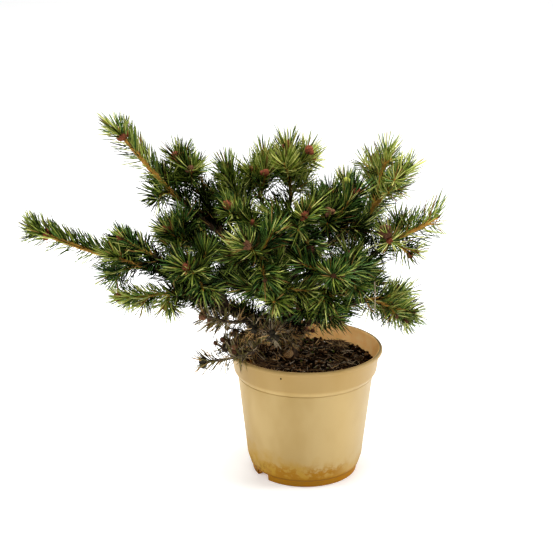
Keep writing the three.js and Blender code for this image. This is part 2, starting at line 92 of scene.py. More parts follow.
# %% Wrap a socket so it can be used in sums
class Shade:
    """One output of a node. Sums with it add Math nodes."""

    def __init__(self, finish, socket):
        self.finish, self.socket = finish, socket

    def _sum(self, operation, first, second):
        return self.finish.node("ShaderNodeMath", {"operation": operation}, {0: first, 1: second})

    def __add__(self, other):
        return self._sum("ADD", self, other)

    def __sub__(self, other):
        return self._sum("SUBTRACT", self, other)

    def __mul__(self, other):
        return self._sum("MULTIPLY", self, other)

    def __rsub__(self, other):
        return self._sum("SUBTRACT", other, self)

    __radd__ = __add__
    __rmul__ = __mul__

# %% A finish and its one way of making nodes
class Finish:
    """A material that starts as one Principled surface."""

    def __init__(self, name, colour, roughness, **more):
        self.material = bpy.data.materials.new(name)
        self.material.use_nodes = True
        self.tree = self.material.node_tree
        self.surface = self.tree.nodes["Principled BSDF"]
        self.use("Base Color", (*colour, 1))
        self.use("Roughness", roughness)
        for socket, value in more.items():
            self.use(socket.replace("_", " "), value)
        self.material.diffuse_color = (*colour, 1)

    def plug(self, socket, value):
        if isinstance(value, Shade):
            self.tree.links.new(value.socket, socket)
        else:
            socket.default_value = value

    def use(self, socket, value):
        self.plug(self.surface.inputs[socket], value)

    def node(self, kind, settings=None, sockets=None, output=0):
        made = self.tree.nodes.new(kind)
        for key, value in (settings or {}).items():
            if key == "stops":
                for stop, (place, colour) in zip(stops_of(made, len(value)), value):
                    stop.position, stop.color = place, (*colour, 1)
            else:
                setattr(made, key, value)
        for key, value in (sockets or {}).items():
            self.plug(made.inputs[key], value)
        return Shade(self, made.outputs[output])

    def place(self):
        return self.node("ShaderNodeTexCoord", output="Object")

    def cloud(self, size, detail=4, stretch=(1, 1, 1)):
        """Noise with patches about `size` millimetres across."""
        scale = [s / (size * MM) for s in stretch]
        spread = self.node("ShaderNodeMapping", {}, {"Vector": self.place(), "Scale": scale})
        return self.node("ShaderNodeTexNoise", {}, {"Vector": spread, "Scale": 1.0, "Detail": detail})

    def ramp(self, value, *stops):
        return self.node("ShaderNodeValToRGB", {"stops": stops}, {"Fac": value})

    def between(self, value, low, high):
        """0 below `low`, 1 above `high`, smooth in between."""
        settings = {"interpolation_type": "SMOOTHSTEP"}
        return self.node("ShaderNodeMapRange", settings, {"Value": value, "From Min": low, "From Max": high})

    def mix(self, share, first, second):
        first, second = ((*c, 1) if isinstance(c, tuple) else c for c in (first, second))
        return self.node("ShaderNodeMix", {"data_type": "RGBA"}, {0: share, 6: first, 7: second}, 2)

    def bump(self, height, depth, strength=1.0):
        sockets = {"Height": height, "Distance": depth * MM, "Strength": strength}
        self.use("Normal", self.node("ShaderNodeBump", {}, sockets))


def stops_of(ramp_node, count):
    stops = ramp_node.color_ramp.elements
    while len(stops) < count:
        stops.new(0.5)
    return stops


print("finishes are ready to be made")

# %% [markdown]
# ## Joining many small shapes
# A plant has far too many needles for one object each, and instances are lost on export. So the
# points and faces of every small shape are collected in plain arrays and become one mesh at the
# end. Each face also remembers a tone, a number that picks its finish.

# %% Collect shapes and turn them into one mesh
class Heap:
    """Many small shapes, in millimetres, that become one mesh."""

    def __init__(self):
        self.points, self.corners, self.sizes, self.tones = [], [], [], []
        self.count = self.triangles = 0

    def add(self, points, *groups):
        """Points, then groups of faces that have equally many corners, each with its tones."""
        points = np.asarray(points, float).reshape(-1, 3)
        for faces, tones in groups:
            faces = np.asarray(faces, int)
            self.corners.append((faces + self.count).ravel())
            self.sizes.append(np.full(len(faces), faces.shape[1]))
            self.tones.append(np.broadcast_to(tones, len(faces)))
            self.triangles += len(faces) * (faces.shape[1] - 2)
        self.points.append(points)
        self.count += len(points)

    def piece(self, name, finishes, slot, smooth=True):
        points = np.concatenate(self.points) * MM
        corners, sizes = np.concatenate(self.corners), np.concatenate(self.sizes)
        mesh = bpy.data.meshes.new(name)
        mesh.vertices.add(len(points))
        mesh.vertices.foreach_set("co", points.ravel())
        mesh.loops.add(len(corners))
        mesh.loops.foreach_set("vertex_index", corners)
        mesh.polygons.add(len(sizes))
        mesh.polygons.foreach_set("loop_start", np.cumsum(sizes) - sizes)
        for finish in finishes:
            mesh.materials.append(finish.material)
        mesh.polygons.foreach_set("material_index", np.concatenate(self.tones))
        mesh.polygons.foreach_set("use_smooth", np.full(len(sizes), smooth))
        mesh.update(calc_edges=True)
        mesh.validate()
        made = bpy.data.objects.new(name, mesh)
        bpy.context.scene.collection.objects.link(made)
        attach(made, "root")
        print(f"{name}: {self.triangles} triangles")
        return made


def skin_faces(rings, sides):
    """The walls and end fans of `rings` rings of `sides` points, then a point for each end."""
    i, j = np.meshgrid(np.arange(rings - 1), np.arange(sides), indexing="ij")
    near, far = i * sides + j, i * sides + (j + 1) % sides
    walls = np.stack([near, far, far + sides, near + sides], -1).reshape(-1, 4)
    here = np.arange(sides)
    beyond, last, foot = (here + 1) % sides, (rings - 1) * sides, np.full(sides, rings * sides)
    fans = np.concatenate([
        np.stack([foot, beyond, here], -1),
        np.stack([foot + 1, last + here, last + beyond], -1),
    ])
    return walls, fans

# %% [markdown]
# ## The rule the plant grows by
# The solids were grown by a rule: limbs leave the trunk, each ends in a leader, and a whorl of
# side shoots leaves the leader near its foot. The same rule and the same seeded draws are
# written again here, so every needle grows on the place its solid holds.

# %% Seeded draws, directions and curves
UP = np.array([0.0, 0.0, 1.0])
FULL = 0xFFFFFFFF  # the solids' draws are whole numbers of 32 bits


def seeded(seed):
    """The same numbers from 0 to 1 that the solids were grown with."""
    state = seed

    def draw():
        nonlocal state
        state = (state + 0x6D2B79F5) & FULL
        t = ((state ^ (state >> 15)) * (state | 1)) & FULL
        t ^= (t + (((t ^ (t >> 7)) * (t | 61)) & FULL)) & FULL
        return ((t ^ (t >> 14)) & FULL) / (FULL + 1)

    return draw


def around(count):
    """Evenly spaced angles of one full turn."""
    return np.linspace(0, 2 * math.pi, count, endpoint=False)


def unit(v):
    return v / np.linalg.norm(v, axis=-1, keepdims=True)


def heading(turn, rise):
    a, e = math.radians(turn), math.radians(rise)
    return np.array([math.cos(a) * math.cos(e), math.sin(a) * math.cos(e), math.sin(e)])


def leaning(axis, angle, roll):
    """A direction at `angle` to `axis`, rolled round it; roll 0 is the side that looks up."""
    up = unit(UP - axis * axis[2])
    side = np.cross(axis, up)
    a, r = math.radians(angle), math.radians(roll)
    return axis * math.cos(a) + (up * math.cos(r) + side * math.sin(r)) * math.sin(a)


def square_to(axis, turn, rise):
    """Two directions square to the axis and to each other, the first also square to a heading."""
    side = unit(np.cross(axis, heading(turn, rise)))
    return side, np.cross(side, axis)


class Curve:
    """A finely sampled curve, read by the share of its length."""

    def __init__(self, points):
        self.points = np.array(points)
        steps = np.linalg.norm(np.diff(self.points, axis=0), axis=1)
        self.length = steps.sum()
        self.shares = np.concatenate([[0], np.cumsum(steps)]) / self.length

    def at(self, share):
        return np.stack([np.interp(share, self.shares, self.points[:, k]) for k in range(3)], -1)

    def along(self, share):
        share = np.asarray(share, float)
        return unit(self.at(np.minimum(share + 0.01, 1)) - self.at(np.maximum(share - 0.01, 0)))

    def stretch(self, start, end):
        return Curve(self.at(np.linspace(start, end, 40)))


def bent(start, middle, end):
    t = np.linspace(0, 1, 60)[:, None]
    return Curve(start * (1 - t) ** 2 + middle * 2 * t * (1 - t) + end * t**2)


def twig(start, way, length, kind, lift=0.0):
    """A shoot or twig whose middle is raised by `lift` of its length."""
    end = start + way * length
    return {"curve": bent(start, (start + end) / 2 + UP * lift * length, end), "kind": kind}

# %% The trunk's line: a smooth curve through its four marks
TRUNK_WAY = np.array([(-14, 12, 88), (-13, 11, 122), (-19, 7, 160), (-20, 6, 207)], float)
TRUNK_RADIUS, TRUNK_TIP_RADIUS, TRUNK_FLARE, FLARE_SHARE = 6.6, 3.4, 4.2, 0.22
SOIL_TOP = 97


def through(marks):
    """A centripetal Catmull-Rom curve through the marks."""
    first, last = 2 * marks[0] - marks[1], 2 * marks[-1] - marks[-2]
    way = np.concatenate([[first], marks, [last]])
    points = []
    for a, b, c, d in zip(way, way[1:], way[2:], way[3:]):
        knots = np.cumsum([0] + [np.linalg.norm(q - p) ** 0.5 for p, q in ((a, b), (b, c), (c, d))])
        for t in np.linspace(knots[1], knots[2], 30):
            pull = lambda p, q, i, j: (p * (knots[j] - t) + q * (t - knots[i])) / (knots[j] - knots[i])
            ab, bc, cd = pull(a, b, 0, 1), pull(b, c, 1, 2), pull(c, d, 2, 3)
            points.append(pull(pull(ab, bc, 0, 2), pull(bc, cd, 1, 3), 1, 2))
    keep = [0] + [i for i in range(1, len(points)) if np.linalg.norm(points[i] - points[i - 1]) > 1e-6]
    return Curve([points[i] for i in keep])


trunk_curve = through(TRUNK_WAY)


def trunk_radius(t):
    flare = TRUNK_FLARE * np.maximum(0, 1 - t / FLARE_SHARE) ** 2
    return TRUNK_RADIUS + (TRUNK_TIP_RADIUS - TRUNK_RADIUS) * t + flare


print("trunk length (mm):", round(trunk_curve.length, 1))

# %% [markdown]
# One row describes each limb and the mass of shoots at its tip: the limb it leaves and where, its
# own tip as a turn round the pot, a reach and a height, then its leader as a turn, a rise and a
# length, and last how its whorl of side shoots stands.

# %% The limbs and their shoots
COLUMNS = "name leaves at bare tip bow thick leader whorl sides spread roll fan side".split()
ROWS = [
    ("left", "trunk", 0.13, 0.82, (192, 131, 188), 4, 4.6, (181, 18.5, 98), 6, 3, 34, 60, 115, 27),
    ("dry_upper", "left", 0.3, 0, (200, 62, 138), 1, 2.2, (193, 16, 30), 8, 1, 50, 120, 90, 16),
    ("dry_lower", "left", 0.17, 0, (218, 56, 116), 2, 2.4, (190, -8, 42), 10, 1, 50, 60, 150, 16),
    ("dry_centre", "trunk", 0.22, 0.3, (232, 38, 134), 2, 2.4, (208, 16, 24), 4, 2, 60, 90, 180, 20),
    ("lower_left", "left", 0.6, 0, (196, 112, 167), -3, 2.6, (183, -5, 46), 4, 1, 62, 160, 200, 13),
    ("left_front", "left", 0.46, 0, (208, 94, 188), 4, 2.8, (252, 23, 35), 4, 3, 66, 75, 130, 18),
    ("left_outer", "left", 0.75, 0, (197, 130, 201), 3, 2.3, (170, 29, 29), 5, 1, 60, 100, 180, 13),
    ("left_mid", "trunk", 0.5, 0.5, (187, 98, 204), 4, 3, (208, 35, 24), 4, 3, 62, 90, 130, 20),
    ("top_left", "trunk", 0.68, 0.66, (182, 104, 238), -3, 3.4, (187, 51, 79), 8, 2, 56, 95, 110, 15),
    ("upper_left", "top_left", 0.56, 0, (173, 88, 240), 3, 2.4, (199, 58, 39), 10, 3, 48, 70, 110, 19),
    ("mid_left", "trunk", 0.82, 0.4, (180, 50, 224), -2, 2.8, (143, 62, 44), 10, 2, 56, 75, 125, 26),
    ("upper_front", "trunk", 0.73, 0.4, (212, 47, 219), -2, 2.2, (204, 42, 34), 5, 2, 60, 90, 180, 17),
    ("upper_mid", "trunk", 0.91, 0.4, (163, 40, 236), -2, 2.4, (80, 58, 38), 8, 2, 60, 20, 320, 18),
    ("top", "trunk", 0.985, 0.6, (127, 21, 236), 0, 2.7, (178, 86, 44), 12, 3, 42, 150, 110, 24),
    ("centre_front", "trunk", 0.76, 0.4, (259, 31, 221), -3, 2.6, (279, 32, 38), 6, 3, 62, 70, 125, 24),
    ("centre_right", "trunk", 0.86, 0.4, (325, 19, 213), -2, 2.5, (355, 54, 44), 6, 3, 58, 60, 125, 27),
    ("right", "trunk", 0.34, 0.76, (346, 66, 205), -4, 4, (345, 31, 51), 8, 3, 75, 75, 110, 20),
    ("right_top", "right", 0.66, 0, (9, 54, 222), 3, 2.8, (20, 76, 57), 8, 3, 36, 100, 80, 40),
    ("lower_right", "trunk", 0.24, 0.6, (14, 52, 147), 3, 3, (15, 6, 37), 7, 3, 40, 125, 55, 41),
    ("front", "trunk", 0.59, 0.45, (240, 67, 206), 4, 3, (250, 29, 37), 6, 3, 62, 90, 120, 24),
    ("front_low", "trunk", 0.42, 0.45, (247, 50, 179), 3, 2.8, (262, -4, 38), 5, 3, 66, 280, 80, 28),
    ("front_right", "trunk", 0.52, 0.45, (289, 50, 190), 3, 2.7, (279, 12, 34), 4, 3, 72, 60, 110, 26),
    ("right_mid", "trunk", 0.64, 0.4, (335, 36, 183), 2, 2.6, (322, 10, 22), 5, 3, 62, 30, 120, 19),
    ("inner_low", "trunk", 0.25, 0.4, (284, 25, 155), 2, 2.6, (300, -4, 30), 4, 2, 66, 80, 190, 22),
    ("back_left", "trunk", 0.45, 0.5, (151, 94, 188), 3, 3, (152, 12, 37), 10, 2, 60, 80, 190, 32),
    ("back", "trunk", 0.55, 0.5, (113, 62, 168), 3, 3, (98, 8, 46), 10, 3, 62, 80, 110, 26),
    ("back_right", "trunk", 0.62, 0.5, (56, 60, 196), 3, 3, (88, 60, 46), 10, 3, 62, 90, 90, 30),
    ("back_low_right", "trunk", 0.15, 0.5, (60, 53, 142), 3, 2.8, (55, -2, 44), 8, 2, 60, 60, 250, 30),
    ("back_low_left", "trunk", 0.36, 0.5, (146, 72, 150), 3, 2.8, (152, 5, 46), 8, 2, 60, 90, 170, 30),
]
LIMB_TIP_RADIUS, SHOOT_RADIUS, SHOOT_SAG = 1.7, 1.45, 0.05
rows = [dict(zip(COLUMNS, row)) for row in ROWS]
limbs = {"trunk": trunk_curve}
for row in rows:
    row["dry"] = row["name"].startswith("dry")
    root = limbs[row["leaves"]].at(row["at"])
    turn, reach, height = row["tip"]
    tip = heading(turn, 0) * reach + UP * height
    limbs[row["name"]] = bent(root, (root + tip) / 2 + UP * 2 * row["bow"], tip)
print("limbs:", len(rows))

# %% Grow the shoots of each mass
def shoots_of(row, seed):
    draw = seeded(seed)
    turn, rise, length = row["leader"]
    forward = heading(turn, rise)
    limb = limbs[row["name"]]
    leader = twig(limb.at(1.0) - forward * SHOOT_RADIUS, forward, length, "leader", -SHOOT_SAG)
    made = [{"curve": limb.stretch(max(row["bare"], STEM_FROM), 1), "kind": "stem"}, leader]
    for i in range(row["sides"]):
        start = leader["curve"].at(row["whorl"] * (1 + 0.25 * i) / length)
        spread = row["spread"] + SPREAD_DISORDER * (draw() - 0.5)
        roll = row["roll"] + row["fan"] * i + ROLL_DISORDER * (draw() - 0.5)
        reach = row["side"] * (0.9 + 0.2 * draw())
        made.append(twig(start, leaning(forward, spread, roll), reach, "side", -SHOOT_SAG))
    return made


FIRST_SEED, STEM_FROM = 100, 0.12  # a stem starts this share up its limb where no bark is bare
SPREAD_DISORDER, ROLL_DISORDER = 8, 12  # degrees by which side shoots differ
for i, row in enumerate(rows):
    row["shoots"] = shoots_of(row, FIRST_SEED + i)
print("shoots:", sum(len(row["shoots"]) for row in rows))

# %% [markdown]
# Real shoots also carry finer twigs. They are left out of the solids to keep those light, so they
# are grown here: one to three short twigs on each leader and side shoot, which stay inside the
# reach of the needles that are already there.

# %% Carry each shoot on to finer twigs
SPRIG_LENGTH, SPRIG_SPREAD, SPRIG_EVERY = 11, 44, 11
TWIG_LIFT = 0.04
LONG_SHOOT = 70  # a leader that grew this much in one year has no side twigs yet
GOLDEN_TURN = 137.5  # degrees from one twig to the next
sprig_draw = np.random.default_rng(21)


def sprigs_of(curve, low, high, kind, every=SPRIG_EVERY):
    """Short twigs between two shares of a shoot, one for each `every` millimetres."""
    count = int(round(curve.length * (high - low) / every))
    made = []
    for k in range(count):
        share = low + (high - low) * (k + 0.5) / count
        way = leaning(curve.along(share), SPRIG_SPREAD, GOLDEN_TURN * k + 360 * sprig_draw.random())
        length = SPRIG_LENGTH * (0.7 + 0.5 * sprig_draw.random())
        made.append(twig(curve.at(share), way, length, kind, TWIG_LIFT))
    return made


FILLERS = {  # extra twigs: from which shoot, how far along it, then their turn, rise, length and kind
    "top": [(1, 0.12, 350, 30, 15, "sprig"), (1, 0.3, 20, 35, 15, "sprig"), (0, 0.4, 185, 20, 12, "inner")],
    "lower_right": [(1, 0.05, 340, -60, 12, "sprig"), (1, 0.3, 10, -60, 12, "sprig")],
    "right": [(1, 0.03, 100, 85, 12, "sprig"), (1, 0.1, 200, 70, 10, "sprig")],
    "top_left": [(1, 0.2, 60, 60, 10, "sprig")],
    "mid_left": [(1, 0.55, 190, 50, 12, "sprig")],
}
STEM_TWIG_EVERY, BARE_TWIG_EVERY = 13.2, 18.7  # of stem and of bare limb for each shaded twig
CLOSE_TWIGS = {"left": 4.4, "left_mid": 7.7, "top_left": 8.8}  # the bare limbs that have more
BARE_FROM = {"left": 0.1}  # where twigs start on a bare limb, as a share of it; others 0.3
AIRY = {  # masses whose stems stand free, with sky round them
    "top", "upper_mid", "left_front", "back", "back_low_left", "back_low_right", "right_mid",
}
for row in (row for row in rows if not row["dry"]):
    name, bare = row["name"], row["bare"]
    stem, *young = row["shoots"]
    grown = []
    if name in AIRY:
        stem["kind"] = "airy"
    else:
        grown += sprigs_of(stem["curve"], 0.25, 0.9, "inner", STEM_TWIG_EVERY)
        if bare > 0:
            old_limb = limbs[name].stretch(BARE_FROM.get(name, 0.3) * bare, bare)
            grown += sprigs_of(old_limb, 0.0, 1.0, "inner", CLOSE_TWIGS.get(name, BARE_TWIG_EVERY))
    for shoot in young:
        if shoot["curve"].length < LONG_SHOOT:
            grown += sprigs_of(shoot["curve"], 0.3, 0.85, "sprig")
    for parent, share, turn, rise, length, kind in FILLERS.get(name, []):
        start = row["shoots"][parent]["curve"].at(share)
        grown.append(twig(start, heading(turn, rise), length, kind, -TWIG_LIFT))
    row["shoots"] += grown
print("shoots with sprigs:", sum(len(row["shoots"]) for row in rows))

# %% [markdown]
# ## Needles
# A spruce needle is angular, about a millimetre across and pointed, and bends a little towards the
# tip of its twig. Each one here is three rings of three corners and a point, the fewest faces that
# still show that bend. They stand on the twig in a spiral of the golden angle, as real ones do.

# %% The shape of a needle
NEEDLE_LENGTH, NEEDLE_ANGLE, NEEDLE_CLOSING, NEEDLE_LIFT = 17.2, 62, 26, 0.16
NEEDLE_HALF_WIDTH = 0.41
GOLDEN_ANGLE = math.radians(137.508)
NEEDLE_RINGS = np.array([0.0, 0.35, 0.75])
NEEDLE_SWELL = np.array([0.7, 1.0, 0.8])
RING = np.array([(1, 0), (-0.5, 0.87), (-0.5, -0.87)])
NEEDLE_QUADS = np.array([
    (3 * i + j, 3 * i + (j + 1) % 3, 3 * i + 3 + (j + 1) % 3, 3 * i + 3 + j) for i in (0, 1) for j in range(3)
])
NEEDLE_ENDS = np.array([(2, 1, 0)] + [(6 + j, 6 + (j + 1) % 3, 9) for j in range(3)])
print("triangles in one needle:", 2 * len(NEEDLE_QUADS) + len(NEEDLE_ENDS))


def add_needles(heap, roots, ways, lengths, bends, tones, half_width=NEEDLE_HALF_WIDTH):
    """Needles as one batch: rows of roots, directions, lengths, sideways bends and tones."""
    count = len(roots)
    across = unit(np.cross(ways, UP + 0.01))  # a needle that points straight up has a side too
    over = np.cross(ways, across)
    share = np.append(NEEDLE_RINGS, 1.0)[None, :, None]
    spine = roots[:, None] + ways[:, None] * lengths[:, None, None] * share
    spine = spine + bends[:, None] * share**2
    ring = RING[:, 0, None] * across[:, None, None] + RING[:, 1, None] * over[:, None, None]
    rings = spine[:, :3, None] + ring * (half_width * NEEDLE_SWELL[None, :, None, None])
    points = np.concatenate([rings.reshape(count, 9, 3), spine[:, 3:]], 1)
    first = 10 * np.arange(count)[:, None, None]
    quads = (NEEDLE_QUADS + first).reshape(-1, 4)
    ends = (NEEDLE_ENDS + first).reshape(-1, 3)
    quad_tones, end_tones = (np.repeat(tones, len(faces)) for faces in (NEEDLE_QUADS, NEEDLE_ENDS))
    heap.add(points, (quads, quad_tones), (ends, end_tones))

# %% [markdown]
# Needles on the old inner stems are nearly black, those on lit young shoots are fresh green, and
# the youngest at the top tips are yellow-green. These tones come partly from the needles' age and
# partly from painted shade and light: one green from shaded to sunlit, darker deep in the crown
# and lighter at its lit outside. Low sprays are bluer, and a few needles anywhere are browned. An
# image could paint all that, but every needle would have to be unfolded on it. Here the tones are
# plain colours, dealt out by where each spray grows and how far along its twig each needle stands.

# %% Needle finishes, from shaded to sunlit, then dead
# Painted shade and light: the first seven are one green from shaded to sunlit, and the bluish and browned
# ones are copies at several levels of light.
NEEDLE_COLOURS = {
    "needle_shaded": (0.001, 0.002, 0.001),
    "needle_old_shaded": (0.006, 0.009, 0.002),
    "needle_deep": (0.023, 0.038, 0.004),
    "needle_green": (0.072, 0.106, 0.011),
    "needle_fresh_lit": (0.155, 0.215, 0.022),
    "needle_bright": (0.33, 0.395, 0.06),
    "needle_tip_yellow_lit": (0.66, 0.67, 0.19),
    "needle_cool_deep": (0.014, 0.036, 0.008),
    "needle_cool_green": (0.038, 0.090, 0.014),
    "needle_cool_fresh_lit": (0.090, 0.195, 0.034),
    "needle_browned_shaded": (0.060, 0.032, 0.010),
    "needle_browned": (0.30, 0.17, 0.05),
}
BROWNED_SHADED, BROWNED, BROWNED_SHARE = 10, 11, 0.05
BRIGHTEST = 6
COOL = np.array([0, 1, 7, 8, 9, 5, 6])  # the finish of each level on a shaded, bluish spray
DRY_COLOURS = {
    "needle_dry_grey": (0.46, 0.37, 0.23),
    "needle_dry_tan": (0.56, 0.35, 0.14),
    "needle_dry_brown": (0.030, 0.016, 0.008),
    "needle_dry_olive": (0.16, 0.14, 0.04),
}
SHINE = [0.0, 0.0, 0.05, 0.1, 0.2, 0.25, 0.25, 0.05, 0.1, 0.2, 0.0, 0.0]  # young needles are waxier than old; the darkest, painted-shade tones have none


def finishes_of(colours, roughness, *shine):
    """A finish for each named colour; one shine for all, or one each."""
    shines = shine if len(shine) > 1 else shine * len(colours)
    return [Finish(name, colours[name], roughness, Specular_IOR_Level=s) for name, s in zip(colours, shines)]


green = finishes_of(NEEDLE_COLOURS, 0.5, *SHINE)
dry = finishes_of(DRY_COLOURS, 0.8, 0.2)
print("needle finishes:", len(green) + len(dry))

# %% Where needles may grow
POT_HEIGHT, LIP_RADIUS, INNER_RADIUS = 110, 65, 56


def clear_of_pot(points):
    r, z = np.hypot(points[:, 0], points[:, 1]), points[:, 2]
    outside = (z > POT_HEIGHT + 1) | (r > LIP_RADIUS + 1.5)
    return outside | ((r < INNER_RADIUS) & (z > SOIL_TOP + 2))


def in_box(points):
    """Within the solids' box, or at most 3 mm past it."""
    low, high = np.array(cad_low) / MM - 3, np.array(cad_high) / MM + 3
    return ((points > low) & (points < high)).all(1)


trial = np.array([(0, 0, POT_HEIGHT), (LIP_RADIUS, 0, POT_HEIGHT), (0, 0, 2 * POT_HEIGHT)])
print("clear above the soil, in the lip and in the crown:", clear_of_pot(trial), in_box(trial))

# %% How close, long and bright the needles are
NEEDLE_PITCH = {  # millimetres of twig for each needle
    "stem": 0.27, "airy": 0.46, "leader": 0.19, "side": 0.185, "sprig": 0.18, "inner": 0.24, "dead": 0.36,
}
NEEDLE_SHARE = {  # of the full length
    "stem": 0.9, "airy": 0.75, "leader": 1.0, "side": 0.97, "sprig": 0.78, "inner": 0.75, "dead": 0.66,
}
# Needles on stems and inner twigs are older and lie in the crown's shade: their lower levels paint both.
KIND_LEVEL = {"stem": -1.6, "airy": -1.6, "leader": 0.2, "side": 0.1, "sprig": 0.3, "inner": -1.9}
NEEDLE_REACH = {  # others 1
    "right": 1.42, "lower_left": 0.75, "left_outer": 0.8, "right_mid": 0.75, "upper_front": 0.8, "back": 0.85,
}
SPARSE = {"right": 1.6, "right_top": 1.5, "lower_right": 1.4}  # masses with needles further apart
UNDERSIDE, BARE_UNDERSIDE, BARE_FRONT = 0.85, 0.28, 0.3  # needles kept under a twig, and on a long one
FULL_FROM = 0.86  # from here on, all are kept
LONG_ABOVE, LONG_BELOW = 52, 78  # how far the needles of a long leader stand out, above and below it
TUFT = 0.80  # from here on, its needles stand every way round the bud
LONG_CLOSER = 0.7  # how much closer together the needles of a long leader are
CROWDING, LONG_CROWDING = 0.8, 0.6  # powers below 1 crowd the needles towards the bud
SHORTEST, LONGEST = 0.82, 1.12  # by which single needles differ in length
ANGLE_DISORDER, TURN_DISORDER = 6, 0.12  # degrees, and radians round the twig
NEEDLE_BEND, NEEDLE_RISE = 0.24, 0.05  # towards the twig's tip and up, as shares of the length
TWIG_SKIN = 0.8  # needles start this far from the twig's middle
needle_draw = np.random.default_rng(5)
print("needles on 10 mm of a leader:", round(10 / NEEDLE_PITCH["leader"]))

# %% Set the needles of one shoot round its twig
def needle_seats(shoot, needle_reach=1.0, sparse=1.0):
    """Roots, directions, lengths, bends and shares along the shoot."""
    curve, kind = shoot["curve"], shoot["kind"]
    long_one = kind == "leader" and curve.length > LONG_SHOOT
    pitch = NEEDLE_PITCH[kind] * (LONG_CLOSER if long_one else 1.0) * sparse
    count = max(6, int(curve.length / pitch))
    k = np.arange(count)
    share = ((k + 0.5) / count) ** (LONG_CROWDING if long_one else CROWDING)
    axis = curve.along(share)
    side, above = square_to(axis, 37, 20)
    roll = (GOLDEN_ANGLE * k + needle_draw.normal(0, TURN_DISORDER, count))[:, None]
    outward = side * np.cos(roll) + above * np.sin(roll)
    angle = NEEDLE_ANGLE - NEEDLE_CLOSING * share**4 + needle_draw.normal(0, ANGLE_DISORDER, count)
    if long_one:
        angle = np.where(outward[:, 2] < 0, LONG_BELOW, LONG_ABOVE)
        angle = angle + needle_draw.normal(0, ANGLE_DISORDER, count)
        angle = np.where(share > TUFT, needle_draw.uniform(20, 85, count), angle)
    angle = np.radians(angle)[:, None]
    way = unit(axis * np.cos(angle) + outward * np.sin(angle) + UP * NEEDLE_LIFT)
    length = NEEDLE_LENGTH * NEEDLE_SHARE[kind] * needle_reach
    length = length * needle_draw.uniform(SHORTEST, LONGEST, count)
    bend = (axis * NEEDLE_BEND + UP * NEEDLE_RISE) * length[:, None]
    kept = np.where(outward[:, 2] < 0.1, BARE_UNDERSIDE if long_one else UNDERSIDE, 1.0)
    if long_one or sparse > 1:
        kept = np.where(outward[:, 1] < -0.6, BARE_FRONT, kept)
    stays = needle_draw.random(count) < np.where(share > FULL_FROM, 1.0, kept)
    root = curve.at(share) + outward * TWIG_SKIN
    return tuple(values[stays] for values in (root, way, length, bend, share))


print("needles can be set on any shoot")

# %% How much light each mass gets, and how bluish it is
CROWN_CENTRE, CROWN_REACH = np.array([-35, 5, 190]), np.array([150, 95, 110])
TIP_BRIGHTER = 1.3  # levels from a twig's foot to its tip
NEEDLE_DISORDER = -0.3, 1.65  # mean and spread of the levels within a spray
SPRAY_DISORDER, MASS_DISORDER = 0.4, 0.2
COOL_SHARE, WARM_SHARE = 0.85, 0.22  # of bluish needles in a bluish spray and in any other
BASE_LEVEL, OUTER_LEVEL, HIGH_LEVEL = 2.1, 0.8, 0.8  # at the crown's centre, and more far out and high up
COOL_HEIGHT, COOL_DEPTH = 255, 100  # below this height sprays turn bluish, over this many millimetres
LEAST_COOL, MOST_COOL, WARM_FACTOR = 0.1, 0.6, 0.3  # chances, and the share of them in a warm mass
SUNNY = {  # levels that a mass is brighter than its place alone would make it
    "top": 1.5, "right_top": 1.0, "front_low": 0.6, "upper_mid": 0.7, "mid_left": 0.3, "lower_left": 0.9,
    "right": 0.9, "lower_right": 0.7, "centre_front": -0.7, "front": -0.5, "front_right": -0.7,
    "top_left": -0.9, "centre_right": -0.8, "left": 0.1, "inner_low": -0.3, "left_outer": -0.6,
    "left_front": -0.7,
}
WARM = {"left", "top_left", "lower_left", "right", "right_top", "lower_right", "front_low"}  # rarely bluish


def brightness_of(row):
    """A level from 1 deep in the crown to 4 at its lit outside."""
    out = (row["shoots"][1]["curve"].at(0.6) - CROWN_CENTRE) / CROWN_REACH
    level = BASE_LEVEL + OUTER_LEVEL * np.linalg.norm(out) + HIGH_LEVEL * out[2] + SUNNY.get(row["name"], 0)
    return level + needle_draw.normal(0, MASS_DISORDER)


def coolness_of(row, shoot):
    """How likely a spray is bluish: more so low in the crown."""
    height = shoot["curve"].at(0.5)[2]
    chance = np.clip((COOL_HEIGHT - height) / COOL_DEPTH, LEAST_COOL, MOST_COOL)
    return chance * (WARM_FACTOR if row["name"] in WARM else 1)


def needle_tones(shoot, share, brightness, cool):
    """Which finish each needle takes: brighter outwards, upwards and towards the twig's tip."""
    level = brightness + KIND_LEVEL[shoot["kind"]] + TIP_BRIGHTER * (share - 0.5)
    level = level + needle_draw.normal(*NEEDLE_DISORDER, len(share))
    tones = np.clip(np.round(level), 0, BRIGHTEST).astype(int)
    cool_share = COOL_SHARE if needle_draw.random() < cool else WARM_SHARE
    tones = np.where(needle_draw.random(len(tones)) < cool_share, COOL[tones], tones)
    # A browned needle takes the painted-shade or the lit copy of brown by its level.
    browned = np.where(tones > 3, BROWNED, BROWNED_SHADED)
    return np.where(needle_draw.random(len(tones)) < BROWNED_SHARE, browned, tones)


print("coolness of the first spray:", round(float(coolness_of(rows[0], rows[0]["shoots"][1])), 2))

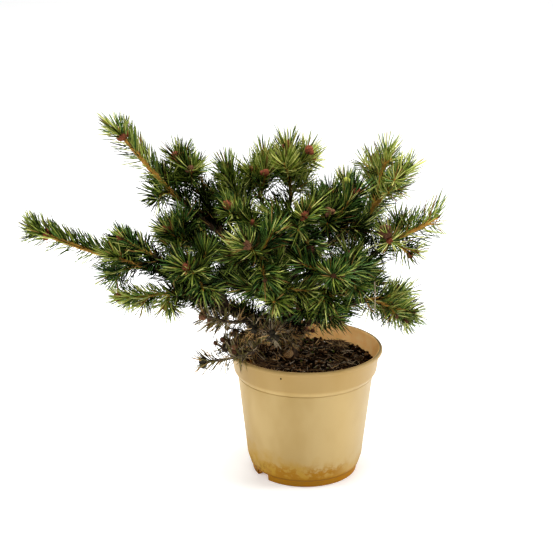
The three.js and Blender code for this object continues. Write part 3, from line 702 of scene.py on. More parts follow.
# %% Grow the green needles, and join them into pieces of roughly 170,000 triangles
# Grow the green needles, and join them into pieces small enough to export
TRIANGLE_CAP = 170_000
heap, names, number, total = Heap(), [], 1, 0
green_rows = [row for row in rows if not row["dry"]]
for row in green_rows:
    brightness = brightness_of(row)
    for shoot in row["shoots"]:
        spray = brightness + needle_draw.normal(0, SPRAY_DISORDER)
        needle_reach = 1.0 if shoot["kind"] in ("side", "sprig") else NEEDLE_REACH.get(row["name"], 1.0)
        root, way, length, bend, share = needle_seats(shoot, needle_reach, SPARSE.get(row["name"], 1.0))
        tip = root + way * length[:, None] + bend
        keep = clear_of_pot(tip) & clear_of_pot((root + tip) / 2) & in_box(tip)
        tones = needle_tones(shoot, share, spray, coolness_of(row, shoot))
        add_needles(heap, root[keep], way[keep], length[keep], bend[keep], tones[keep])
    names.append(row["name"])
    if heap.triangles > TRIANGLE_CAP or row is green_rows[-1]:
        made = heap.piece(f"green_needles_{number}", green, "green_needles", smooth=False)
        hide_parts(*("needles_" + name for name in names))
        total += heap.triangles
        heap, names, number = Heap(), [], number + 1
print("triangles in green needles:", total)

# %% [markdown]
# ## Dead twigs
# Low boughs that get no light die, and their twigs stay on as a brittle tangle. Drawing each one
# by hand would take long, so most are dealt out along the old wood by the same rule as the green
# sprigs, and only those that lean on the rim have places of their own.

# %% The twigs of the dead tangle
dry_rows = [row for row in rows if row["dry"]]
crushed_shoots = next(row for row in dry_rows if row["name"] == "dry_centre")["shoots"]
dry_shoots = [shoot for row in dry_rows for shoot in row["shoots"] if row["name"] != "dry_centre"]
dead_twigs = sprigs_of(limbs["left"].stretch(0.06, 0.62), 0.0, 1.0, "dead", 2.75)
dead_twigs += sprigs_of(trunk_curve.stretch(0.2, 0.6), 0.0, 1.0, "dead", 4.4)
dead_twigs += sprigs_of(limbs["dry_lower"].stretch(0.3, 1), 0.0, 1.0, "dead", 3.3)
SHORT_TWIGS, TANGLE_TWIGS, TUFT_LENGTH = 8, 30, 12
for _ in range(SHORT_TWIGS):  # on the other side of the trunk
    start = trunk_curve.at(sprig_draw.uniform(0.15, 0.45))
    way = heading(sprig_draw.uniform(-50, 50), sprig_draw.uniform(0, 40))
    dead_twigs.append(twig(start, way, sprig_draw.uniform(12, 24), "dead"))
budded_twigs = dead_twigs[-SHORT_TWIGS:]
for _ in range(TANGLE_TWIGS):  # round the foot of the trunk, on the side of the dead boughs
    way = heading(sprig_draw.uniform(165, 285), sprig_draw.uniform(-5, 40))
    start = trunk_curve.at(sprig_draw.uniform(0.1, 0.4))
    dead_twigs.append(twig(start, way, sprig_draw.uniform(12, 34), "dead", 0.1))
RIM_TUFTS = [  # place, turn and rise of the broken twigs that lean on the rim
    (-49, -13, 115, 205, 18), (-52, -20, 112, 190, 25), (-47, -22, 113, 220, 10), (-46, -14, 126, 185, 8),
    (-50, -8, 122, 170, 0), (-64, -33, 116, 165, 35), (-60, -30, 117, 190, 50), (-53, -13, 128, 180, 10),
    (-56, -24, 118, 200, 30), (-52, -26, 117, 240, 20), (-48, -30, 116, 215, 10), (-44, -6, 114, 150, 20),
    (-47, 2, 113, 185, 25), (-43, 8, 114, 120, 30), (-50, -10, 113, 200, 15),
]
for x, y, z, turn, rise in RIM_TUFTS:
    dead_twigs.append(twig(np.array([x, y, z], float), heading(turn, rise), TUFT_LENGTH, "dead"))
budded_twigs += dead_twigs[-len(RIM_TUFTS):]
print("dead twigs:", len(dead_twigs))

# %% Dead needles: grey, tan and brown, fewer, curled back, and standing any way
DRY_BOUGH = (0.45, 1.0, 0.18, 0.44, (0.15, 0.15, 0.25, 0.45))  # share kept, length, disorder, half width
DEAD_TWIG = (0.65, 0.78, 0.5, 0.34, (0.26, 0.2, 0.36, 0.18))  # and shares of the four dry colours
CURL = -0.4
dry_heap = Heap()
for shoot in dry_shoots + crushed_shoots + dead_twigs:
    held, shrunk, disorder, half_width, mix = DRY_BOUGH if shoot in dry_shoots else DEAD_TWIG
    root, way, length, bend, share = needle_seats(shoot)
    way = unit(way + needle_draw.normal(0, disorder, way.shape))
    keep = clear_of_pot(root + way * length[:, None]) & (needle_draw.random(len(share)) < held)
    tones = needle_draw.choice(len(dry), len(share), p=mix)
    lengths, bends = length[keep] * shrunk, CURL * bend[keep]
    add_needles(dry_heap, root[keep], way[keep], lengths, bends, tones[keep], half_width)
dry_piece = dry_heap.piece("dry_needles", dry, "dry_needles", smooth=False)
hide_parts(*("needles_" + row["name"] for row in dry_rows))

# %% [markdown]
# ## Bark, boughs and twigs
# A limb could be a bevelled curve, but then its surface would be glassy smooth. Instead each one
# is a tube of rings whose corners are pushed in and out by noise, so ridges and pegs are real
# shape. Old wood is dark and rough; the shoots of the year are orange and finely ribbed. Where a
# limb was sawn off the trunk a stub stays, and its cut shows pale wood with darker rings.

# %% A tube with relief
def add_tube(heap, curve, radius_at, sides, spacing, relief, grain, tone=0):
    """A closed tube round a curve, its skin raised by `relief` with patches of size `grain`."""
    count = max(3, int(curve.length / spacing))
    share = np.linspace(0, 1, count + 1)
    side, above = square_to(curve.along(share), 63, 11)
    angle = around(sides)[:, None]
    ring = side[:, None] * np.cos(angle) + above[:, None] * np.sin(angle)
    skin = curve.at(share)[:, None] + ring * np.asarray(radius_at(share))[:, None, None]
    raised = [noise.noise(Vector(p / grain)) for p in skin.reshape(-1, 3) * (1, 1, 0.5)]
    skin = skin + ring * (relief * np.array(raised).reshape(count + 1, sides, 1))
    walls, fans = skin_faces(count + 1, sides)
    points = np.concatenate([skin.reshape(-1, 3), [curve.at(0.0), curve.at(1.0)]])
    heap.add(points, (walls, tone), (fans, tone))


def taper(thick, loss):
    """The radius along a twig that loses this share of it by its tip."""
    return lambda t: thick * (1 - loss * t)


print("tubes can be grown round any curve")

# %% Bark finishes
PALE_WOOD = (0.62, 0.42, 0.21)
bark = Finish("old_bark", (0.07, 0.045, 0.03), 0.9, Specular_IOR_Level=0.2)
cut_wood = Finish("cut_wood", PALE_WOOD, 0.8, Specular_IOR_Level=0.2)
stub_bark = Finish("stub_bark", (0.30, 0.18, 0.08), 0.9, Specular_IOR_Level=0.2)
ring_wood = Finish("ring_wood", (0.25, 0.14, 0.06), 0.8, Specular_IOR_Level=0.2)
flakes = bark.cloud(2.2, 6, (1, 1, 0.5))
patches = bark.cloud(9)
bark.use(
    "Base Color",
    bark.mix(
        bark.between(patches, 0.58, 0.7) * 0.4,
        bark.ramp(flakes, (0.35, (0.012, 0.008, 0.005)), (0.62, (0.085, 0.045, 0.022))),
        (0.15, 0.12, 0.085),
    ),
)
bark.bump(flakes, 0.6)


def grained_bark(name, colour, roughness, size, detail, depth, dark, light):
    """Bark whose colour and relief follow the same noise."""
    made = Finish(name, colour, roughness, Specular_IOR_Level=0.2)
    grain = made.cloud(size, detail)
    made.use("Base Color", made.ramp(grain, (0.3, dark), (0.7, light)))
    made.bump(grain, depth)
    return made


YOUNG_DARK, YOUNG_LIGHT = (0.28, 0.115, 0.012), (0.62, 0.34, 0.06)
DEAD_DARK, DEAD_LIGHT = (0.035, 0.024, 0.016), (0.17, 0.125, 0.085)
young_bark = grained_bark("orange_twig", (0.36, 0.19, 0.035), 0.7, 0.9, 3, 0.25, YOUNG_DARK, YOUNG_LIGHT)
dead_bark = grained_bark("dead_twig", (0.10, 0.075, 0.055), 0.9, 1.5, 4, 0.3, DEAD_DARK, DEAD_LIGHT)
print("three kinds of bark, and the wood of a cut")

# %% The trunk, with its flare at the soil
TRUNK_FROM = 0.02  # its first share lies under the soil
trunk_heap = Heap()
skin_radius = lambda t: trunk_radius(TRUNK_FROM + (1 - TRUNK_FROM) * t)
add_tube(trunk_heap, trunk_curve.stretch(TRUNK_FROM, 1), skin_radius, 40, 0.9, 0.9, 3.2)
print("triangles in the trunk:", trunk_heap.triangles)

# %% The sawn stub, and the rings of its cut
STUB_FROM, STUB_TO, STUB_RADIUS = np.array([-13.0, 8, 100]), np.array([-15.0, -5, 104]), 3.6
STUB_SIDES, RING_DEPTH = 18, 0.12
RING_SHARES = (0.88, 0.7, 0.5, 0.3, 0.12)  # of the stub's radius
WOOD, STUB, RING_WOOD = 1, 2, 3
stub = bent(STUB_FROM, (STUB_FROM + STUB_TO) / 2, STUB_TO)
stub_way = stub.along(1.0)
stub_radius = lambda t: STUB_RADIUS + 0.4 * np.maximum(0, t - 0.7)  # swollen where the bark healed
add_tube(trunk_heap, stub, stub_radius, STUB_SIDES, 0.9, 0.5, 2.4, STUB)
cut_side, cut_above = square_to(stub_way, 63, 11)
turn = around(STUB_SIDES)[:, None]
cut_ring = cut_side * np.cos(turn) + cut_above * np.sin(turn)
cut_centre = STUB_TO + stub_way * 0.35
rings = [
    cut_centre + cut_ring * STUB_RADIUS * share - stub_way * RING_DEPTH * (i % 2)
    for i, share in enumerate(RING_SHARES)
]
walls, fans = skin_faces(len(rings), STUB_SIDES)
ring_tones = np.repeat([WOOD, RING_WOOD, WOOD, RING_WOOD], STUB_SIDES)
cut_points = np.concatenate(rings + [[cut_centre - stub_way, cut_centre]])
trunk_heap.add(cut_points, (walls, ring_tones), (fans, WOOD))
trunk_piece = trunk_heap.piece("trunk_bark", [bark, cut_wood, stub_bark, ring_wood], "bark")
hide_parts("trunk")

# %% The boughs, each one tube from its collar to the first shoot
COLLAR_SWELL, COLLAR_SHARE = 1.1, 0.12  # where a limb leaves its parent
bough_heap = Heap()
for row in rows:
    limb, thick = limbs[row["name"]], row["thick"]
    collar = lambda t: COLLAR_SWELL * np.maximum(0, 1 - t / COLLAR_SHARE) ** 2
    radius = lambda t: thick + (LIMB_TIP_RADIUS - thick) * t + collar(t)
    add_tube(bough_heap, limb, radius, 16, 1.0, 0.55, 2.4, int(row["dry"]))
bough_piece = bough_heap.piece("bough_bark", [bark, dead_bark], "bark")
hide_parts(*("bough_" + row["name"] for row in rows if row["bare"] > 0))

# %% The twigs that carry the needles
twig_heap = Heap()
TWIG_RADIUS = {"leader": SHOOT_RADIUS, "side": SHOOT_RADIUS, "sprig": 0.8, "inner": 0.8, "dead": 0.75}
THICK_SHOOTS = {"left": 1.6, "top_left": 1.6, "right": 1.45, "right_top": 1.4}
YOUNG, DEAD = 0, 1
for row in rows:
    for shoot in row["shoots"][1:]:
        strong = shoot["kind"] == "leader" or row["name"] == "right_top"
        thick = TWIG_RADIUS[shoot["kind"]] * (THICK_SHOOTS.get(row["name"], 1) if strong else 1)
        tone = DEAD if row["dry"] or shoot["kind"] == "inner" else YOUNG
        add_tube(twig_heap, shoot["curve"], taper(thick, 0.3), 9, 1.0, 0.6, 1.0, tone)
for shoot in dead_twigs:
    add_tube(twig_heap, shoot["curve"], taper(TWIG_RADIUS["dead"], 0.3), 6, 1.3, 0.3, 1.0, DEAD)
twig_heap.piece("young_twigs", [young_bark, dead_bark], "bark")

# %% [markdown]
# ## Buds
# Each shoot ends in a round bud, brick red and covered in overlapping scales. A plain ball would
# look like a berry, so its skin is a grid of staggered steps: every second corner of a ring is
# pushed out, and the next ring is shifted by one. Buds that would hide among the needles stand on
# a short stalk.

# %% One bud
BUD_RADIUS = 3.3
BUD_SIDES, BUD_RINGS = 12, 9


def add_bud(heap, centre, axis, radius, tone=0):
    side, above = square_to(axis, 17, 33)
    v = np.linspace(0.03, 0.97, BUD_RINGS)[:, None]
    j = np.arange(BUD_SIDES)[None, :]
    stagger = (np.arange(BUD_RINGS)[:, None] + j) % 2
    angle = 2 * math.pi * (j + 0.3 * np.arange(BUD_RINGS)[:, None]) / BUD_SIDES
    wide = radius * np.sin(math.pi * v) ** 0.8 * (1 + 0.16 * stagger)
    high = -radius * 1.1 * np.cos(math.pi * v) + 0.12 * radius * stagger
    ring = side * np.cos(angle)[..., None] + above * np.sin(angle)[..., None]
    skin = centre + ring * wide[..., None] + axis * high[..., None]
    ends = [centre - axis * radius * 1.1, centre + axis * radius * 1.25]
    walls, fans = skin_faces(BUD_RINGS, BUD_SIDES)
    checks = tone + stagger[:-1].ravel()
    heap.add(np.concatenate([skin.reshape(-1, 3), ends]), (walls, checks), (fans, tone))


print("raised scales on one bud:", BUD_SIDES * (BUD_RINGS - 1) // 2)

# %% Bud finishes: each tone is followed by the one for the edges of its scales
BUD_COLOURS = {
    "bud_red": (0.27, 0.072, 0.030),
    "bud_brown": (0.12, 0.036, 0.016),
    "bud_dead": (0.13, 0.052, 0.024),
    "bud_dead_edge": (0.045, 0.019, 0.009),
    "bud_yellow": (0.42, 0.40, 0.06),
    "bud_green": (0.24, 0.30, 0.05),
    "bud_rust": (0.25, 0.115, 0.055),
    "bud_rust_edge": (0.11, 0.048, 0.024),
    "bud_black": (0.045, 0.036, 0.020),
    "bud_black_edge": (0.012, 0.010, 0.007),
}
RED_BUD, DEAD_BUD, YELLOW_BUD, RUST_BUD, BLACK_BUD = 0, 2, 4, 6, 8
bud_finishes = finishes_of(BUD_COLOURS, 0.85, 0.15)
print("bud finishes:", len(bud_finishes))

# %% Groups of buds along the leaders
FRONT = heading(270, 20)
STALK_RADIUS, BESIDE_ANGLE, BESIDE_BACK = 1.2, 62, 2.2  # buds beside a tip lean out, a little behind it
bud_draw = np.random.default_rng(9)
bud_heap = Heap()


def add_stalk(start, end):
    """A short twig that carries buds to where the needles end."""
    line = bent(start, (start + end) / 2, end)
    add_tube(bud_heap, line, taper(STALK_RADIUS, 0), 7, 1.2, 0.3, 1.0, RUST_BUD)


def add_tip_buds(shoot, tone, size, beside, beside_size, forward=0):
    """One bud on the shoot's tip, or on a stalk that far in front of it, and some round it."""
    tip, axis = shoot["curve"].at(1.0) + FRONT * forward, shoot["curve"].along(1.0)
    if forward:
        add_stalk(shoot["curve"].at(1.0), tip)
    add_bud(bud_heap, tip, axis, size, tone)
    first = 360 * bud_draw.random()
    for k in range(beside):
        way = leaning(axis, BESIDE_ANGLE, first + 360 * k / beside)
        place = tip - axis * BESIDE_BACK + way * (size + 0.5)
        add_bud(bud_heap, place, unit(way + axis), beside_size, tone)


CLUSTERS = {  # where on the leader, how many, how large, how far forward, and their tone
    "left": (0.86, 3, 2.6, 0, RED_BUD),
    "top_left": (0.86, 3, 2.8, 0, RED_BUD),
    "right": (0.0, 8, 2.3, 24, DEAD_BUD),
    "front": (1.0, 6, 1.7, 0, RUST_BUD),
}
for row in (row for row in rows if row["name"] in CLUSTERS):
    share, count, size, forward, tone = CLUSTERS[row["name"]]
    curve = row["shoots"][1]["curve"]
    centre = curve.at(share) + heading(270, 40) * forward
    if forward:
        add_stalk(curve.at(share), centre)
    for k in range(count):
        way = leaning(FRONT if forward else curve.along(share), 60, 270 + 360 * k / count)
        add_bud(bud_heap, centre + way * (size + (1.4 if forward else 0.6)), way, size, tone)
print("groups of buds:", len(CLUSTERS))

# %% Buds at the tips, with smaller ones beside the main ones
BROWN_CHANCE, SIDE_CHANCE, SPRIG_CHANCE = 0.5, 0.55, 0.25  # that such a shoot shows a bud
BROWN_TIPS = {"front", "front_low", "front_right", "inner_low", "right_mid", "back_low_right", "lower_right"}
CHOSEN_BUDS = {  # by mass and shoot: tone, size, how many beside it, their size, how far forward
    ("top", 4): (RED_BUD, 3.3, 1, 1.9, 10),
    ("upper_mid", 2): (RED_BUD, 2.8, 1, 1.8, 8),
    ("upper_front", 1): (RED_BUD, 3.6, 0, 0, 4),
    ("centre_right", 2): (RUST_BUD, 2.6, 3, 2.0, 5),
    ("centre_right", 4): (RED_BUD, 2.7, 0, 0, 8),
    ("right_top", 1): (DEAD_BUD, 1.8, 0, 0),
    ("right_top", 3): (DEAD_BUD, 2.8, 2, 1.8),
    ("right_top", 4): (DEAD_BUD, 3.0, 1, 1.8, 10),
    ("left_outer", 2): (RED_BUD, 2.6, 0, 0),
    ("upper_left", 4): (RUST_BUD, 2.6, 2, 1.8),
    ("back_right", 1): (YELLOW_BUD, 2.6, 2, 1.8, 8),
}
for row in rows:
    for place, shoot in enumerate(row["shoots"][1:], 1):
        chance, scale = bud_draw.random(), bud_draw.uniform(0.85, 1.08)
        if (row["name"], place) in CHOSEN_BUDS:
            add_tip_buds(shoot, *CHOSEN_BUDS[row["name"], place])
        elif row["dry"]:
            upper = row["name"] == "dry_upper"
            add_tip_buds(shoot, RUST_BUD if upper else BLACK_BUD, (2.3 if upper else 2.7) * scale, 3, 2.4)
        elif row["name"] in BROWN_TIPS and shoot["kind"] != "inner":
            if chance < BROWN_CHANCE:
                add_tip_buds(shoot, DEAD_BUD, 0.62 * BUD_RADIUS * scale, int(chance < 0.2), 1.4)
        elif shoot["kind"] == "leader" and row["name"] in CLUSTERS:
            add_tip_buds(shoot, DEAD_BUD, 0.5 * BUD_RADIUS * scale, 0, 0)
        elif shoot["kind"] == "leader":
            add_tip_buds(shoot, RED_BUD, BUD_RADIUS * scale, 2, 1.9)
        elif shoot["kind"] == "side" and chance < SIDE_CHANCE:
            tone = DEAD_BUD if chance < 0.18 else RED_BUD
            add_tip_buds(shoot, tone, 0.85 * BUD_RADIUS * scale, int(chance < 0.25), 1.7)
        elif shoot["kind"] == "sprig" and chance < SPRIG_CHANCE:
            add_tip_buds(shoot, YELLOW_BUD if chance < 0.03 else RED_BUD, 1.7 * scale, 0, 0)
for shoot in budded_twigs:
    tone, size = (DEAD_BUD, RUST_BUD, RUST_BUD)[bud_draw.integers(3)], bud_draw.uniform(1.4, 2.4)
    add_bud(bud_heap, shoot["curve"].at(1.0), shoot["curve"].along(1.0), size, tone)
bud_heap.piece("buds", bud_finishes, "bark")

# %% [markdown]
# ## The pot
# A nursery pot is blow-thin moulded plastic, turned about one axis: a foot, a tapering wall, a
# collar and a rolled lip. A turned outline with small arcs at its corners catches the light the
# way moulded edges do. Two notches in the foot let water out; they are cut with boxes, which is
# quicker than modelling their corners.

# %% The pot's outline, with rounded corners
POT_WALL = 1.5
POT_OUTSIDE = [
    (44.5, 0), (45, 5.5), (46.3, 6.5), (49, 15), (57.2, 85.9), (56.7, 86.3), (57.3, 86.8), (60.4, 91),
    (62.6, 106.6), (65, 107.45), (65, 108.98), (64.2, 110),
]
POT_INSIDE = [
    (43, POT_WALL), (43.5, 6.5), (47.5, 15.5), (55.6, 86.5), (58.9, 91.5), (61.1, 108.3), (61.9, 110),
]
CORNER = 1.2


def rounded(outline, radius):
    """The outline with each inner corner replaced by a short arc."""
    marks = [np.array(p, float) for p in outline]
    made = [marks[0]]
    for before, here, after in zip(marks, marks[1:], marks[2:]):
        a, b = before - here, after - here
        reach = min(radius, 0.3 * np.linalg.norm(a), 0.3 * np.linalg.norm(b))
        start, end = here + unit(a) * reach, here + unit(b) * reach
        made += [start * (1 - t) ** 2 + here * 2 * t * (1 - t) + end * t**2 for t in np.linspace(0, 1, 5)]
    return made + [marks[-1]]


pot_outline = np.array(rounded([(0, 0)] + POT_OUTSIDE + POT_INSIDE[::-1] + [(0, POT_WALL)], CORNER))
print("points in the pot's outline:", len(pot_outline))

# %% Turn the outline round the pot's axis
POT_SIDES = 180
angles = around(POT_SIDES)
inner = pot_outline[1:-1, None]
turned = [inner[..., 0] * np.cos(angles), inner[..., 0] * np.sin(angles), inner[..., 1] + 0 * angles]
pot_points = np.concatenate([np.stack(turned, -1).reshape(-1, 3), [(0, 0, 0), (0, 0, POT_WALL)]])
walls, fans = skin_faces(len(inner), POT_SIDES)
ring_of_wall = np.arange(len(walls)) // POT_SIDES
top_ring = int(np.argmax(pot_outline[1:-1, 1]))
OUTSIDE, INSIDE = 0, 1
wall_tones = np.where(ring_of_wall > top_ring, INSIDE, OUTSIDE)
pot_heap = Heap()
pot_heap.add(pot_points, (walls, wall_tones), (fans, OUTSIDE))
print("triangles in the pot:", pot_heap.triangles)

# %% [markdown]
# ### The plastic and its stains
# The pot is beige polypropylene gone slightly blotchy. Hard water and soil have left ochre and
# rust-brown crusts in a ragged band above the foot. A height mask with noise added to its edge
# makes that band ragged, and more noise breaks it into flecks.

# %% Pot plastic, with heights and widths in metres
plastic = Finish("pot_plastic", (0.42, 0.295, 0.11), 0.42, Specular_IOR_Level=0.09)
place = plastic.place()
height, depth, width = (plastic.node("ShaderNodeSeparateXYZ", {}, {0: place}, axis) for axis in "ZYX")
blotches = plastic.cloud(40, 3, (1, 1, 0.5))
flecks = plastic.cloud(9, 6)
fine = plastic.cloud(3.2, 6)
beige = plastic.mix(plastic.between(blotches, 0.35, 0.65), (0.405, 0.275, 0.100), (0.475, 0.340, 0.145))
# Painted light and sheen: the right side, past about 28 mm, is paler and greyer.
painted_right_sheen = plastic.mix(plastic.between(width, 0.028, 0.060) * 0.6, beige, (0.44, 0.35, 0.22))
# The collar, above about 90 mm, is darker.
darker_collar = plastic.mix(plastic.between(height, 0.088, 0.092) * 0.6, painted_right_sheen, (0.34, 0.215, 0.070))
ragged = height + (flecks - 0.5) * 0.030
low = 1 - plastic.between(ragged + width * 0.14, 0.002, 0.031)
yellowed = plastic.mix(low, darker_collar, (0.40, 0.225, 0.022))
footed = plastic.mix((1 - plastic.between(height, 0.006, 0.011)) * 0.9, yellowed, (0.36, 0.145, 0.001))
at_front = plastic.between(depth * -1, 0.030, 0.044)
front_patch = (1 - plastic.between(ragged + (fine - 0.5) * 0.014, 0.016, 0.023)) * at_front
rust_flecks = front_patch * plastic.between(flecks + fine * 0.5, 0.60, 0.80)
rusty = plastic.mix(rust_flecks, footed, (0.33, 0.150, 0.008))
left_rim = (1 - plastic.between(ragged, 0.006, 0.020)) * plastic.between(width * -1, 0.024, 0.040)
browned = plastic.mix(left_rim * plastic.between(fine, 0.44, 0.56) * 0.7, rusty, (0.13, 0.06, 0.010))
foot_line = plastic.between(height, 0.0054, 0.0062) * (1 - plastic.between(height, 0.0066, 0.0080))
plastic.use("Base Color", plastic.mix(foot_line * 0.6, browned, (0.14, 0.065, 0.006)))
plastic.use("Roughness", 0.38 + 0.25 * low + 0.1 * blotches)
plastic.bump(plastic.cloud(0.8, 3), 0.08)
# Painted light: the inside is lighter and warmer than the outside, with patches of dust, and glows a little.
inner_plastic = Finish("pot_inside", (0.66, 0.42, 0.17), 0.55, Specular_IOR_Level=0.3)
grime = inner_plastic.cloud(14, 4)
dust_and_painted_light = inner_plastic.ramp(grime, (0.35, (0.66, 0.38, 0.12)), (0.65, (0.86, 0.58, 0.27)))
inner_plastic.use("Base Color", dust_and_painted_light)
inner_plastic.use("Emission Color", (0.80, 0.42, 0.13, 1))  # painted glow, standing in for daylight that shines through the thin wall
inner_plastic.use("Emission Strength", 0.29)
pot_piece = pot_heap.piece("nursery_pot", [plastic, inner_plastic], "pot_plastic")
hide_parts("pot")

# %% Cut the notches with boxes, then apply the cut
NOTCH_TURN, NOTCH_WIDTH, NOTCH_DEPTH, NOTCH_HEIGHT = 217, 15, 9, 6
for k in range(2):
    turn = math.radians(NOTCH_TURN + 180 * k)
    bpy.ops.mesh.primitive_cube_add(size=1)
    cutter = bpy.context.object
    cutter.scale = (2 * NOTCH_DEPTH * MM, NOTCH_WIDTH * MM, 2 * NOTCH_HEIGHT * MM)
    cutter.location = Vector((math.cos(turn), math.sin(turn), 0)) * (POT_OUTSIDE[0][0] + 2) * MM
    cutter.rotation_euler = (0, 0, turn)
    cut = pot_piece.modifiers.new("notch", "BOOLEAN")
    cut.object, cut.solver = cutter, "EXACT"
    bpy.context.view_layer.update()
    evaluated = pot_piece.evaluated_get(bpy.context.evaluated_depsgraph_get())
    pot_piece.data = bpy.data.meshes.new_from_object(evaluated)
    pot_piece.modifiers.clear()
    bpy.data.objects.remove(cutter)
print("pot faces:", len(pot_piece.data.polygons))

# %% [markdown]
# ## The soil
# Potting soil is dark, damp and full of things: crumbs, pale root threads, grains of white
# perlite, scraps of moss and old fallen needles. The ground is one displaced disc; everything on
# it is scattered with a seeded draw, so it looks random but never changes.

# %% The soil's finish
soil = Finish("potting_soil", (0.02, 0.012, 0.007), 0.95, Specular_IOR_Level=0.0)
lumps = soil.cloud(3, 6)
dark, brown, pale = (0.003, 0.0015, 0.001), (0.018, 0.009, 0.004), (0.07, 0.04, 0.018)
soil.use("Base Color", soil.ramp(lumps, (0.38, dark), (0.58, brown), (0.78, pale)))
soil.bump(lumps, 1.0)
print("soil colours:", len((dark, brown, pale)))

# %% The ground, with its edge against the pot
SOIL_RADIUS, SOIL_SIDES, SOIL_RINGS = 59.2, 150, 60
FOOT_X, FOOT_Y, MOUND, MOUND_WIDTH = -14, 12, 3.0, 26  # the trunk's foot, and the ground round it


def unevenness(x, y, size, layer):
    """Noise from -1 to 1, with lumps about `size` across."""
    return noise.noise(Vector((x / size, y / size, layer)))


def ground_height(x, y):
    """Rolling ground that is a little higher round the trunk."""
    mound = MOUND * np.exp(-((x - FOOT_X) ** 2 + (y - FOOT_Y) ** 2) / MOUND_WIDTH**2)
    rolling = 1.5 * unevenness(x, y, 14, 0)
    crumbly = 1.3 * unevenness(x, y, 3.4, 5) + 0.7 * unevenness(x, y, 1.4, 9)
    return SOIL_TOP - 2.2 + mound + rolling + crumbly


SKIRT, SKIRT_RADIUS = 7, 0.97 * SOIL_RADIUS  # how far the ground's edge goes down, and its foot
turns = around(SOIL_SIDES)
ground = [(SKIRT_RADIUS * math.cos(a), SKIRT_RADIUS * math.sin(a), SOIL_TOP - SKIRT) for a in turns]
for ring in np.linspace(SOIL_RADIUS, 0.8, SOIL_RINGS):
    ring_points = [(ring * math.cos(a), ring * math.sin(a)) for a in turns]
    ground += [(x, y, ground_height(x, y)) for x, y in ring_points]
ends = [(0, 0, SOIL_TOP - SKIRT), (0, 0, ground_height(0, 0))]
walls, fans = skin_faces(SOIL_RINGS + 1, SOIL_SIDES)
soil_heap = Heap()
soil_heap.add(ground + ends, (walls, 0), (fans, 0))
soil_piece = soil_heap.piece("soil_ground", [soil], "potting_soil")
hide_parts("soil")

# %% Places to scatter things on
CRUMB_REACH, THREAD_REACH, FALLEN_REACH = 57.5, 57, 56.5  # from the pot's axis, clear of its wall
scatter = np.random.default_rng(31)


def on_soil(count, reach=CRUMB_REACH, share=0.5):
    """Seeded places on the ground; a share of 0.5 spreads them evenly."""
    r = reach * scatter.random(count) ** share
    a = 2 * math.pi * scatter.random(count)
    x, y = r * np.cos(a), r * np.sin(a)
    clear = np.hypot(x - FOOT_X, y - FOOT_Y) > TRUNK_RADIUS + 2
    x, y = x[clear], y[clear]
    return np.stack([x, y, [ground_height(p, q) for p, q in zip(x, y)]], -1)


print("height of the soil at the pot's axis (mm):", round(ground_height(0, 0), 1))

# %% Crumbs, perlite and moss: lumps of a few faces, each squashed its own way
GOLD = (1 + 5**0.5) / 2
BALL = unit(np.array([
    (-1, GOLD, 0), (1, GOLD, 0), (-1, -GOLD, 0), (1, -GOLD, 0), (0, -1, GOLD), (0, 1, GOLD),
    (0, -1, -GOLD), (0, 1, -GOLD), (GOLD, 0, -1), (GOLD, 0, 1), (-GOLD, 0, -1), (-GOLD, 0, 1),
]))
BALL_FACES = [
    (0, 11, 5), (0, 5, 1), (0, 1, 7), (0, 7, 10), (0, 10, 11), (1, 5, 9), (5, 11, 4), (11, 10, 2), (10, 7, 6),
    (7, 1, 8), (3, 9, 4), (3, 4, 2), (3, 2, 6), (3, 6, 8), (3, 8, 9), (4, 9, 5), (2, 4, 11), (6, 2, 10),
    (8, 6, 7), (9, 8, 1),
]
CRUMB_COLOURS = {
    "crumb_black": (0.004, 0.0025, 0.0015),
    "crumb_brown": (0.030, 0.014, 0.006),
    "crumb_light": (0.13, 0.070, 0.030),
    "crumb_chip": (0.26, 0.15, 0.07),
    "perlite": (0.80, 0.76, 0.68),
    "moss": (0.10, 0.13, 0.02),
}
PERLITE, MOSS = 4, 5
crumb_finishes = finishes_of(CRUMB_COLOURS, 0.95, 0.0)


def add_lumps(heap, places, low, high, tones):
    for place, tone in zip(places, tones):
        size = scatter.uniform(low, high) * scatter.uniform(0.55, 1.2, 3)
        points = BALL * size * scatter.uniform(0.75, 1.15, (12, 1))
        heap.add(place + points + UP * size[2] * 0.3, (BALL_FACES, tone))


crumb_heap = Heap()
places = on_soil(2600)
add_lumps(crumb_heap, places, 0.5, 2.0, scatter.choice(4, len(places), p=[0.58, 0.27, 0.10, 0.05]))
places = on_soil(70)
add_lumps(crumb_heap, places, 0.5, 1.2, np.full(len(places), PERLITE))
places = on_soil(60)
add_lumps(crumb_heap, places, 0.8, 1.9, np.full(len(places), MOSS))
SPECK = np.array([-19.5, -59.2, 103.0])  # one crumb stuck to the outside of the collar
add_lumps(crumb_heap, [SPECK], 0.8, 0.9, [0])
crumb_heap.piece("soil_crumbs", crumb_finishes, "potting_soil", smooth=False)

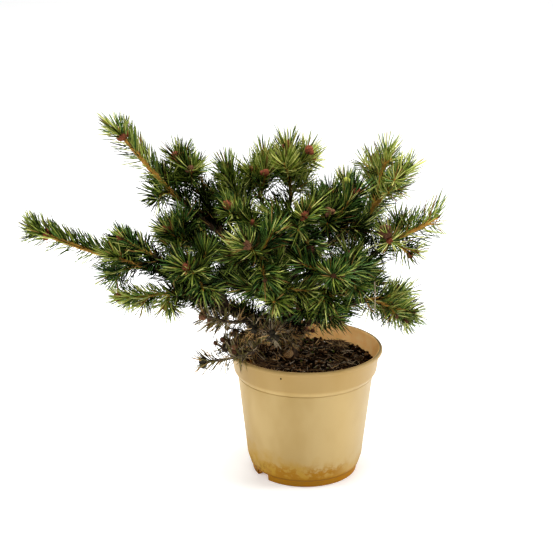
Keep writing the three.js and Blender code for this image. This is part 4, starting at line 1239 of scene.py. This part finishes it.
# %% Root threads and stalks that lie in loose curves
THREAD_COLOURS = {
    "thread_pale": (0.50, 0.40, 0.27),
    "thread_tan": (0.22, 0.13, 0.06),
    "thread_brown": (0.07, 0.04, 0.02),
}
thread_finishes = finishes_of(THREAD_COLOURS, 0.85, 0.1)
thread_heap = Heap()
for place in on_soil(420, 54):
    way = heading(360 * scatter.random(), 0)
    length = scatter.uniform(5, 20)
    ends = place - way * length / 2, place + way * length / 2
    if max(np.hypot(end[0], end[1]) for end in ends) > THREAD_REACH:
        continue
    start, end = (np.array([p[0], p[1], ground_height(p[0], p[1]) + 0.3]) for p in ends)
    middle = (start + end) / 2 + np.cross(way, UP) * scatter.normal(0, 0.25) * length
    middle[2] = ground_height(middle[0], middle[1]) + scatter.uniform(1, 4)
    thick = scatter.uniform(0.12, 0.36)
    tone = scatter.choice(3, p=[0.42, 0.25, 0.33])
    add_tube(thread_heap, bent(start, middle, end), taper(thick, 0.5), 5, 2.2, 0.15, 2, tone)
STALK = bent(np.array([57.0, 0, 167]), np.array([58.5, -1, 152]), np.array([57.5, 0, 139]))
add_tube(thread_heap, STALK, lambda t: 0.55 - 0.2 * t, 6, 2, 0.1, 2)  # a dry stalk caught in the right boughs
thread_heap.piece("soil_threads", thread_finishes, "potting_soil")

# %% Fallen needles, thickest against the far right of the pot's wall
FALLEN_COLOURS = {
    "fallen_tan": (0.36, 0.23, 0.10),
    "fallen_brown": (0.12, 0.065, 0.03),
    "fallen_dark": (0.035, 0.022, 0.012),
}
fallen_finishes = finishes_of(FALLEN_COLOURS, 0.8, 0.2)
drift = np.concatenate([on_soil(120, 50), on_soil(120, 9) + (30, 38, 0), on_soil(190, 16) + (-34, -16, 0)])
turns = 360 * scatter.random(len(drift))
ways = np.array([heading(turn, scatter.uniform(-4, 14)) for turn in turns])
heights = UP * scatter.uniform(0.4, 3.0, (len(drift), 1))
lengths = scatter.uniform(9, 16, len(drift))
starts = drift + heights - ways * lengths[:, None] / 2
ends = starts + ways * lengths[:, None]
keep = np.maximum(*(np.hypot(p[:, 0], p[:, 1]) for p in (starts, ends))) < FALLEN_REACH
tones = scatter.choice(3, len(drift), p=[0.35, 0.35, 0.3])
bends = np.cross(ways, UP) * scatter.normal(0, 1.2, (len(drift), 1))
fallen_heap = Heap()
add_needles(fallen_heap, starts[keep], ways[keep], lengths[keep], bends[keep], tones[keep], 0.33)
fallen_heap.piece("fallen_needles", fallen_finishes, "dry_needles", smooth=False)

# %% [markdown]
# ## Floor and light
# A pale floor that reaches far past the pot gives no horizon to distract. Soft lamps on both sides
# and above light the crown's edges more than its front, so its depths stay dark. That is how a
# plant looks in a white studio tent.

# %% The floor and backdrop
floor_finish = Finish("pale_floor", (0.9, 0.9, 0.9), 0.95, Specular_IOR_Level=0.0)
floor_finish.use("Emission Color", (1, 1, 1, 1))
floor_finish.use("Emission Strength", 0.3)
FLOOR_RADIUS, FLOOR_SIDES = 14.0, 96
floor_points = [(FLOOR_RADIUS * math.cos(a), FLOOR_RADIUS * math.sin(a), 0.0) for a in around(FLOOR_SIDES)]
floor_mesh = bpy.data.meshes.new("floor")
floor_mesh.from_pydata(floor_points, [], [tuple(range(FLOOR_SIDES))])
floor_mesh.materials.append(floor_finish.material)
floor = bpy.data.objects.new("floor", floor_mesh)
bpy.context.scene.collection.objects.link(floor)
floor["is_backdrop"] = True
print("floor radius (m):", FLOOR_RADIUS)

# %% The lamps and the surroundings
def lamp(name, place, aim, size, power):
    data = bpy.data.lights.new(name, "AREA")
    data.size, data.energy = size, power
    made = bpy.data.objects.new(name, data)
    made.location = place
    made.rotation_euler = (Vector(aim) - Vector(place)).to_track_quat("-Z", "Y").to_euler()
    bpy.context.scene.collection.objects.link(made)


AIM = (0, 0, 0.17)
lamp("right", (1.6, -0.1, 1.0), AIM, 1.1, 25)
lamp("left", (-1.6, -0.1, 0.9), AIM, 1.2, 19)
lamp("front", (0.4, -1.6, 1.6), AIM, 0.8, 5.5)
lamp("top", (-0.1, 0.1, 1.9), AIM, 1.2, 51)
lamp("far floor", (0.0, 3.4, 3.0), (0.0, 3.2, 0.0), 3.5, 80)
world = bpy.data.worlds.new("surroundings")
world.use_nodes = True
world.node_tree.nodes["Background"].inputs["Color"].default_value = (1, 1, 1, 1)
world.node_tree.nodes["Background"].inputs["Strength"].default_value = 0.10
bpy.context.scene.world = world
bpy.context.scene.view_settings.view_transform = "Standard"
print("lamps are set")

# %% Print the dressed plant's box
low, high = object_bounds()
print("dressed box (m):", list(low), list(high))
